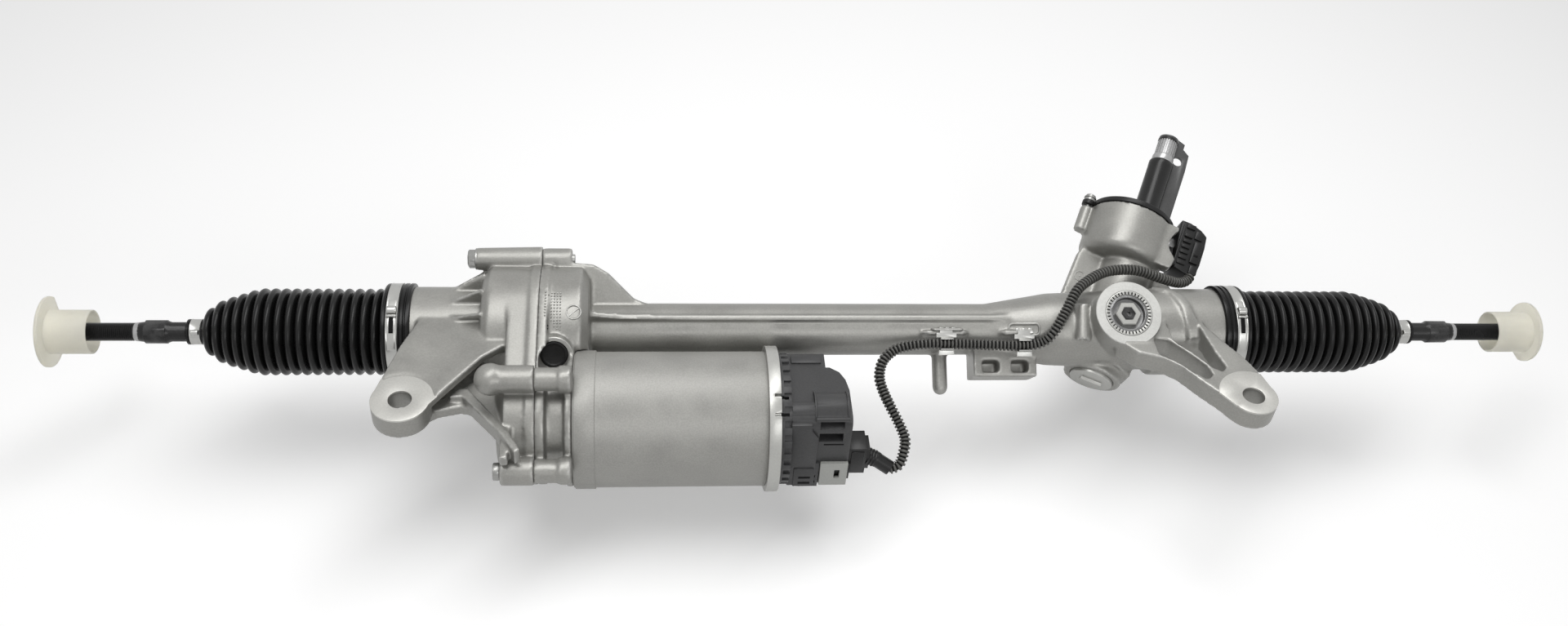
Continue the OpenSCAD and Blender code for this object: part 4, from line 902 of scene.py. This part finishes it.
def on_skin(x, y, z, turn=0):
    """Place on the right casting, nearest to a point in the rack's frame: local z points out of it."""
    point, normal, _, _ = SKIN.find_nearest(in_rack(x, y, z).translation)
    across = (Vector((1, 0, 0)) - normal * normal.x).normalized()
    turned_to = Matrix((across, normal.cross(across), normal)).transposed().to_4x4()
    return Matrix.Translation(point) @ turned_to @ turned_by(turn, "Z")


# Machined faces and marks of the castings

SPOT_R = 26
CUT_DEPTH = 1.4
YOKE_FACE = 47
YOKE_PLUG_SEAT = 38
LOCK_R = 15.3
LOCK_FACE = 47.2
LOCK_NOTCHES = 38
PLUG_X = -209
PLUG_ANGLE = 63.5
PLUG_FACE = 58
PLUG_R = 10.5
PLUG_PLACE = in_rack(PLUG_X) @ turned_by(PLUG_ANGLE, "X")
GRID_COLUMNS = 6
GRID_ROWS = 13


def cut_face(name, node, cutter):
    """The part of a CAD node inside the cutter, lifted a hair over the casting's skin."""
    obj = free_copy(node, name)
    object_mode()
    cut = obj.modifiers.new("cut", "BOOLEAN")
    cut.operation = "INTERSECT"
    cut.solver = "EXACT"
    cut.object = cutter
    rounded(obj, 0.35, 40)
    apply_modifiers(obj)
    bpy.data.objects.remove(cutter)
    settle(obj, at(0, 0, 0.06), 40)
    return obj


def add_ear_faces():
    for side, node in ((-1, "belt_housing"), (1, "main_housing")):
        cutter = turned("cutter", at(side * EAR_X, 0, EAR_TOP), [
            (0, -CUT_DEPTH), (SPOT_R - 0.1, -CUT_DEPTH), (SPOT_R - 0.1, 2), (0, 2),
        ])
        face = cut_face(node + "_ear_face", node, cutter)
        dress(face, ear_metal[side], "machined_aluminium", "housing")


def add_yoke_pieces():
    """Machined face of the yoke's boss, the plug's hexagon, and near-black marks that paint the shade in the
    lock ring's notches.
    """
    ring = washer("yoke_boss_face", on_yoke(0), 18.6, 26.2, YOKE_FACE - 2, YOKE_FACE + 0.1, 0.35, 128)
    dress(ring, yoke_metal, "machined_aluminium", "housing")
    centre = turned("yoke_plug_centre", on_yoke(YOKE_PLUG_SEAT), [
        (1.7, 6.5), (1.7, 7.7), (2.0, 7.85), (5.4, 7.85), (5.4, 6.5),
    ], 64)
    dress(centre, black_steel, "forged_steel", "housing")
    collar = turned("yoke_hexagon", on_yoke(YOKE_PLUG_SEAT), [
        (5.9, 7.0), (5.9, 8.0), (6.4, 8.4), (9.7, 8.4), (10.5, 7.7), (10.6, 3.6), (8.5, 3.6), (8.5, 7.0),
    ], 6)
    dress(collar, plate_metal, "forged_steel", "housing")
    # Painted shade: near-black marks in the lock ring's notches
    notch_shade = slab("notch_shade", HERE, (LOCK_R + 0.2, -0.32, -0.5), (LOCK_R + 2.5, 0.32, 0.05), 0.05, 1)
    places = [on_yoke(LOCK_FACE) @ turned_by(k * 360 / LOCK_NOTCHES, "Z") for k in range(LOCK_NOTCHES)]
    dress(copies(notch_shade, places), painted_shade_black, "machined_aluminium", "housing")


def add_blanking_plug():
    rim = washer("plug_boss_face", PLUG_PLACE, PLUG_R + 0.1, PLUG_R + 3.3, PLUG_FACE - 2, PLUG_FACE + 0.1,
                 0.4)
    dress(rim, plate_metal, "machined_aluminium", "housing")
    top = PLUG_FACE - 0.4
    plug = turned("blanking_plug_soft", PLUG_PLACE, [
        (0, top - 1.0), (7.4, top - 1.0), (7.9, top - 0.7), (8.4, top - 0.1), (9.0, top), (9.8, top - 0.1),
        (PLUG_R - 0.15, top - 0.6), (PLUG_R - 0.05, top - 1.4), (PLUG_R - 0.05, top - 4.5), (0, top - 4.5),
    ])
    dress(plug, plug_black, "black_plastic", "housing", "blanking_plug")


def ring_mark(name, place, radius, high, steps):
    """A low raised ring, 1 mm wide, that sits in the casting's skin."""
    return turned(name, place, [
        (radius, -0.6), (radius, high), (radius + 0.3, high + 0.25), (radius + 0.7, high + 0.25),
        (radius + 1, high), (radius + 1, -0.6),
    ], steps)


def add_marks():
    # Raised grid of a date field, and a round mould mark beside it
    dot = turned("dot", HERE, [(0, 0.95), (0.35, 0.9), (0.6, 0.6), (0.72, 0), (0.72, -0.6), (0, -0.6)], 10)
    spots = [on_skin(-216 + 2.2 * i, -10.5 - 2.35 * j, 51 - 0.9 * j)
             for i in range(GRID_COLUMNS) for j in range(GRID_ROWS)]
    dress_cast(copies(dot, spots))
    place = on_skin(-194.9, -25.0, 44.4, 40)
    ring = ring_mark("mould_mark", place, 4.9, 0.35, 48)
    bar = slab("mould_mark_bar", place, (-5, -0.45, -0.6), (5, 0.45, 0.5), 0.2)
    dress_cast(joined("mould_mark", ring, bar))
    # Raised strip along the belt case
    band = strip("case_strip", on_rack(-253.2), 50.5, 4.4, 1.3, 99, 142, 24)
    dress_cast(band)
    # Ejector mark under the cup, with its centre dot
    place = on_skin(218, 51.6, 15)
    ring = ring_mark("ejector_mark", place, 3.6, 0.25, 40)
    spot = turned("ejector_dot", place, [(0, 0.4), (0.6, 0.35), (0.9, 0.1), (0.9, -0.5), (0, -0.5)], 20)
    dress_cast(joined("ejector_mark", ring, spot))


def add_arm_web():
    """Thin web that closes the hollow between the left arm and its strut."""
    web = plate("left_arm_web", in_rack(0), [
        (-304, -103), (-298, -86), (-288, -66), (-273, -44), (-250, -38), (-240, -60), (-245, -85),
        (-262, -85), (-277, -84), (-292, -93),
    ], 5, 9, 0.8)
    dress_cast(web)


add_ear_faces()
add_yoke_pieces()
add_blanking_plug()
add_marks()
add_arm_web()

# Tie rods and small clamps

THREAD_X = 527
ROD_END = 584
THREAD_R = 7
THREAD_PITCH = 1.5
THREAD_DEPTH = 0.61 * THREAD_PITCH
CLAMP_X = NOSE_X + 3


def threaded(name, place, x0, x1, radius, pitch, depth):
    """A screw thread with flat crests on its core, and a chamfered end."""
    root = radius - depth
    turns = int((x1 - x0) / pitch) - 2
    ridge = outline_start(name + "_ridge")
    draw([(root, 0, 0), (radius, 0, 0.42 * pitch), (radius, 0, 0.58 * pitch), (root, 0, pitch)])
    object_mode()
    screw = ridge.modifiers.new("turns", "SCREW")
    screw.screw_offset = pitch * MM
    screw.iterations = turns
    screw.steps = screw.render_steps = 32
    screw.use_merge_vertices = True
    screw.merge_threshold = 0.01 * MM
    apply_modifiers(ridge)
    settle(ridge, place @ at(0, 0, x0 + 0.4 * pitch), 20)
    core = turned(name + "_core", place, [
        (0, x0 - 4), (radius - 0.2, x0 - 4), (radius - 0.2, x0 - 0.2), (root + 0.08, x0 + 0.7),
        (root + 0.08, x1 - 1.6), (root - 0.2, x1 - 0.6), (root - 1.6, x1), (0, x1),
    ], 48)
    return joined(name, ridge, core)


def add_tie_rod(name, side):
    """The CAD's rod up to its thread, a turned thread, and the bright shank before it."""
    rod = softened(name + "_tie_rod", 0.35)
    pick(rod)
    edit_mode()
    select_all()
    bpy.ops.mesh.bisect(plane_co=(side * THREAD_X * MM, 0, 0), plane_no=(side, 0, 0), clear_outer=True,
                        use_fill=True)
    object_mode()
    dress(rod, black_steel, "forged_steel", name + "_tie", name + "_tie_rod")
    thread = threaded(name + "_thread", on_rack(0), THREAD_X, ROD_END, THREAD_R, THREAD_PITCH, THREAD_DEPTH)
    shank = turned(name + "_shank", on_rack(0), [
        (7.3, 518.6), (7.9, 519.2), (7.3, 524.4), (7.15, 527), (6.9, 527.8), (6.4, 528.4),
    ], 48)
    thread, shank = on_side(side, thread, shank)
    dress(thread, thread_black, "forged_steel", name + "_tie", name + "_tie_rod")
    dress(shank, steel, "forged_steel", name + "_tie")


def add_small_clamp(name, side):
    """Bright band on the nose of the bellows, with the bent ear that closes it."""
    band = turned("band", on_rack(CLAMP_X), [(ROD_R + r, x) for r, x in (
        (1.55, 0), (2.3, 0), (2.5, 0.3), (2.3, 0.7), (2.3, 7.3), (2.5, 7.7), (2.3, 8), (1.55, 8),
    )], 64)
    ear = strip("ear", on_rack(CLAMP_X + 1.2), ROD_R + 2.1, 5.6, 0.7, 126, 152, 8, lift=2.6)
    tail = strip("tail", on_rack(CLAMP_X + 1.6), ROD_R + 2.3, 4.8, 0.6, 152, 215, 20, (6,))
    piece, = on_side(side, joined(name + "_nose_clamp", band, ear, tail))
    dress(piece, bright_steel, "zinc_steel", name + "_tie", name + "_small_clamp")


for side_name, side in SIDES:
    add_tie_rod(side_name, side)
    add_small_clamp(side_name, side)

# Shaft and sensor cup

SLEEVE_TOP = 173
SCREW_ANGLES = (180, 65)
SCREW_AT = (39, 0, 116.2)


def add_shaft_pieces():
    sleeve = turned("shaft_sleeve", PINION_PLACE, [
        (9.4, 119.5), (10.9, 119.5), (11.1, 120), (11.1, 122.4), (10.5, 123.2), (10.3, 125), (10.3, 168),
        (10.45, 168.6), (10.45, 172.2), (10.1, 172.9), (9.2, SLEEVE_TOP + 0.2), (8.65, SLEEVE_TOP - 1),
    ])
    dress(sleeve, satin_black, "unit_plastic", "pinion")
    cap = turned("shaft_cap", PINION_PLACE, [
        (0, 198.3), (6.6, 198.3), (7.6, 197.8), (8.7, 196.4), (8.8, 195), (8.8, 194.4), (8.3, 193.9),
        (0, 193.9),
    ])
    dress(cap, satin_black, "unit_plastic", "pinion")
    collar = turned("shaft_shoulder", PINION_PLACE, [
        (8.45, 173), (8.9, 173.4), (9.2, 174.6), (9.2, 178.4), (8.9, 179.2), (8.5, 179.6),
    ])
    dress(collar, steel, "forged_steel", "pinion")


def add_cup_pieces():
    lip = turned("cover_lip", CUP_PLACE, [
        (29.5, 112.6), (29.5, 113.7), (30.2, 114.1), (33.4, 114.1), (34.2, 113.7), (34.3, 112.6),
    ], 128)
    bead = turned("cover_collar", PINION_PLACE, [
        (11.9, 112.5), (11.9, 117.3), (12.4, 117.8), (14.4, 117.8), (15.4, 117.2), (15.6, 115.4),
        (17.2, 113.6), (17.2, 112.5),
    ])
    dress(joined("cover_lip", lip, bead), satin_black, "black_plastic", "housing")
    # Heads of the cover's screws, each with a flange and a round recess
    head = turned("head", HERE, [
        (0, 0.6), (2.3, 0.6), (2.7, 2.6), (3.9, 2.6), (4.3, 2.2), (4.5, 0.9), (5.2, 0.5), (5.3, -0.4),
        (0, -0.4),
    ], 36)
    places = [CUP_PLACE @ turned_by(angle, "Z") @ at(*SCREW_AT) for angle in SCREW_ANGLES]
    dress(copies(head, places), bolt_steel, "black_plastic", "housing")


def add_sensor_plug_details():
    """Ribs, frame, latch, step and edge of the plug at the cup, on the face that looks forward, with painted
    shade in its slots.
    """
    base = PINION_PLACE @ turned_by(90, "X")
    pieces = [slab("rib", base, (34.5, y, 13), (41.5, y + 2.6, 15.8), 0.4)
              for y in (82 + 5.2 * i for i in range(6))]
    pieces += [
        slab("frame", base, (31.5, 79, 13), (33.6, 118, 16), 0.5),
        slab("latch", base, (44.2, 86, 13), (51.5, 106, 16.6), 0.8),
        slab("latch_foot", base, (46, 76.5, 13), (53, 84.5, 15.6), 0.8),
        slab("step", base, (43, 108.6, 13), (50, 116.4, 15.4), 0.7),
        slab("edge", base, (34.5, 116.2, 13), (42, 120.4, 15.4), 0.6),
    ]
    dress(joined("sensor_plug_details", *pieces), black_plastic, "black_plastic", "housing")
    # Painted shade: a near-black face in the plug's slots
    slot_shade = slab("sensor_plug_slot_shade", base, (46, 92, 16), (49.8, 94, 16.8), 0.2)
    dress(slot_shade, painted_shade_black, "black_plastic", "housing")


add_shaft_pieces()
add_cup_pieces()
add_sensor_plug_details()

# Control unit

UNIT_FACE = 37


def add_unit_details():
    """Raised front-left box with its cut corner, hood rim and ribs of the control unit, with painted shade in
    its slots and groove.
    """
    base = MOTOR_PLACE
    face = base @ turned_by(90, "X")
    box = plate("unit_box", face, [
        (-34.5, -33), (-13.5, -33), (-13.5, 20), (-19, 28), (-19, 34), (-34.5, 34),
    ], UNIT_FACE - 2, UNIT_FACE + 2.2, 0.9)
    pieces = [
        box,
        slab("unit_low_panel", face, (-30, -33, UNIT_FACE), (-14.5, -13, UNIT_FACE + 3.1), 0.7),
        slab("unit_top_bar", base, (-31, 22, 36), (-8, 30, 38.2), 0.7),
        slab("unit_hood_rim", base, (-16.6, -37.2, 35.2), (8.6, -35.0, 38.6), 0.8),
    ]
    hood = base @ at(0, -20, 26) @ ALONG_X
    pieces += [washer("unit_hood_end", hood, 13, 16.9, x, x + 1.5, 0.5) for x in (-16.8, 7.4)]
    dress(joined("unit_details", *pieces), unit_plastic, "unit_plastic", "housing")
    # Painted shade: near-black faces in the slots and the groove
    slots = [slab("unit_slot", face, (-26, z, UNIT_FACE + 2.6), (-17, z + 2.2, UNIT_FACE + 3.25), 0.15)
             for z in (-30, -24)]
    slots.append(slab("unit_groove_shade", face, (-9, 10.2, UNIT_FACE - 1), (6, 11.6, UNIT_FACE + 0.15), 0.1))
    dress(joined("unit_painted_slot_shade", *slots), painted_shade_black, "unit_plastic", "housing")


def add_unit_plug_details():
    """Locking frame of the plug at the control unit and ribs of its boot."""
    base = MOTOR_PLACE
    pieces = [plate("plug_frame", base @ turned_by(90, "X"), [
        (13.4, -23), (23.4, -23), (23.4, -1), (13.4, -1),
    ], 33.4, 34.8, 0.5)]
    pieces += [slab("plug_rib", base, (24.4, -31.5, z), (28.2, -17, z + 1.6), 0.3)
               for z in (-20 + 4.6 * i for i in range(4))]
    boot_a, boot_b = Vector((26, -26, -13)), Vector((34, -28, -16))
    toward = (boot_b - boot_a).normalized()
    turn = toward.to_track_quat("Z", "Y").to_matrix().to_4x4()
    for i in range(4):
        spot = boot_a + toward * 2.4 * i
        pieces.append(turned("boot_ring", base @ at(*spot) @ turn, [
            (5.6, -0.7), (6.5, -0.6), (6.75, 0), (6.5, 0.6), (5.6, 0.7)
        ], 32))
    dress(joined("unit_plug_details", *pieces), black_plastic, "black_plastic", "housing")


add_unit_details()
add_unit_plug_details()

# Bolt heads and cable clips

CLIP_X = (94, 156)
BOLT_AT = (38.74, 41.54, 0)


def add_bolt_head():
    """Hexagon head with a flange on the left end of the upper bolt."""
    head = turned("bolt_head", HERE, [(0, 0), (7.4, 0), (7.4, 5.6), (6.2, 6.6), (0, 6.6)], 6)
    flange = washer("bolt_flange", HERE, 3, 8.4, -0.8, 0.9, 0.4, 48)
    left_end = Vector(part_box("through_bolts")[0]).x / MM
    place = on_rack(left_end + 5) @ at(*BOLT_AT) @ turned_by(180, "X")
    dress(copies(joined("bolt_head", head, flange), [place]), bolt_steel, "forged_steel", "housing")


def wire_loop(name, place, wide, deep, corner, wire):
    """A closed loop of round wire with rounded corners, lying in the place's x and y."""
    points = []
    for cx, cy, start in ((1, 1, 0), (-1, 1, 90), (-1, -1, 180), (1, -1, 270)):
        for step in range(5):
            turn = math.radians(start + 22.5 * step)
            points.append((cx * (wide / 2 - corner) + corner * math.cos(turn),
                           cy * (deep / 2 - corner) + corner * math.sin(turn), 0))
    obj = outline_start(name)
    draw(points)
    bpy.ops.mesh.select_all(action="DESELECT")
    object_mode()
    obj.data.vertices[0].select = obj.data.vertices[len(points) - 1].select = True
    edit_mode()
    bpy.ops.mesh.edge_face_add()
    object_mode()
    bpy.ops.object.convert(target="CURVE")
    obj = bpy.context.object
    obj.data.bevel_depth = wire * MM
    obj.data.bevel_resolution = 3
    bpy.ops.object.convert(target="MESH")
    obj = bpy.context.object
    settle(obj, place)
    return obj


def add_clip_bails():
    """Cast loops beside the cable, each with the bright spring tabs of a clip inside."""
    loops, tabs = [], []
    for x in CLIP_X:
        place = on_skin(x + 1.5, -14, 16)
        loops.append(wire_loop("clip_bail", place @ at(0, 0, 0.6), 24, 9, 3, 0.9))
        tabs.append(slab("clip_tongue", place, (-7, -3.2, 0), (7, -0.6, 1.6), 0.4))
        tabs += [slab("clip_tab", place, (left, -3.4, 1), (left + 2.9, 1.0, 2.3), 0.3)
                 for left in (-6.5 + 4.8 * i for i in range(3))]
    dress_cast(joined("clip_bails", *loops))
    dress(joined("clip_tabs", *tabs), clip_steel, "zinc_steel", "housing")


add_bolt_head()
add_clip_bails()

# Light and floor

FLOOR_Z = -0.145
FLOOR_GLOW = 0.25
WORLD_LIGHT = 0.26


def seen_rays(tree):
    """A mask of the rays that show a surface itself, in the camera, in metal or through plastic."""
    path = tree.nodes.new("ShaderNodeLightPath")
    return maths(tree, "MAXIMUM", path.outputs["Is Camera Ray"],
                 maths(tree, "MAXIMUM", path.outputs["Is Glossy Ray"], path.outputs["Is Transmission Ray"]))


def add_floor():
    deselect()
    bpy.ops.mesh.primitive_plane_add(size=9, location=(0, 0, FLOOR_Z))
    floor = bpy.context.object
    floor.name = "floor"
    material, tree, shader = new_material("pale floor", 0.9, Base_Color=(0.86, 0.86, 0.86, 1),
                                          Specular_IOR_Level=0.0, Emission_Color=(1, 1, 1, 1))
    tree.links.new(maths(tree, "MULTIPLY", seen_rays(tree), FLOOR_GLOW), shader.inputs["Emission Strength"])
    floor.data.materials.append(material)


def add_world():
    world = bpy.data.worlds.new("studio")
    bpy.context.scene.world = world
    world.use_nodes = True
    tree = world.node_tree
    set_inputs(tree.nodes["Background"], Color=(1, 1, 1, 1))
    strength = maths(tree, "ADD", maths(tree, "MULTIPLY", seen_rays(tree), 1 - WORLD_LIGHT), WORLD_LIGHT)
    tree.links.new(strength, tree.nodes["Background"].inputs["Strength"])


def add_lamp(name, place, target, size, watts):
    deselect()
    bpy.ops.object.light_add(type="AREA", location=place)
    lamp = bpy.context.object
    lamp.name = name
    lamp.data.shape = "RECTANGLE"
    lamp.data.size, lamp.data.size_y = size
    lamp.data.energy = watts
    lamp.rotation_euler = (Vector(target) - Vector(place)).to_track_quat("-Z", "Y").to_euler()


add_floor()
add_world()
add_lamp("overhead softbox", (-0.1, 0.15, 1.5), (0, 0.05, 0), (2.0, 0.7), 21)
add_lamp("front softbox", (0.5, -1.4, 0.9), (0, 0, 0), (1.2, 0.5), 6)

bpy.context.scene.view_settings.view_transform = "Standard"
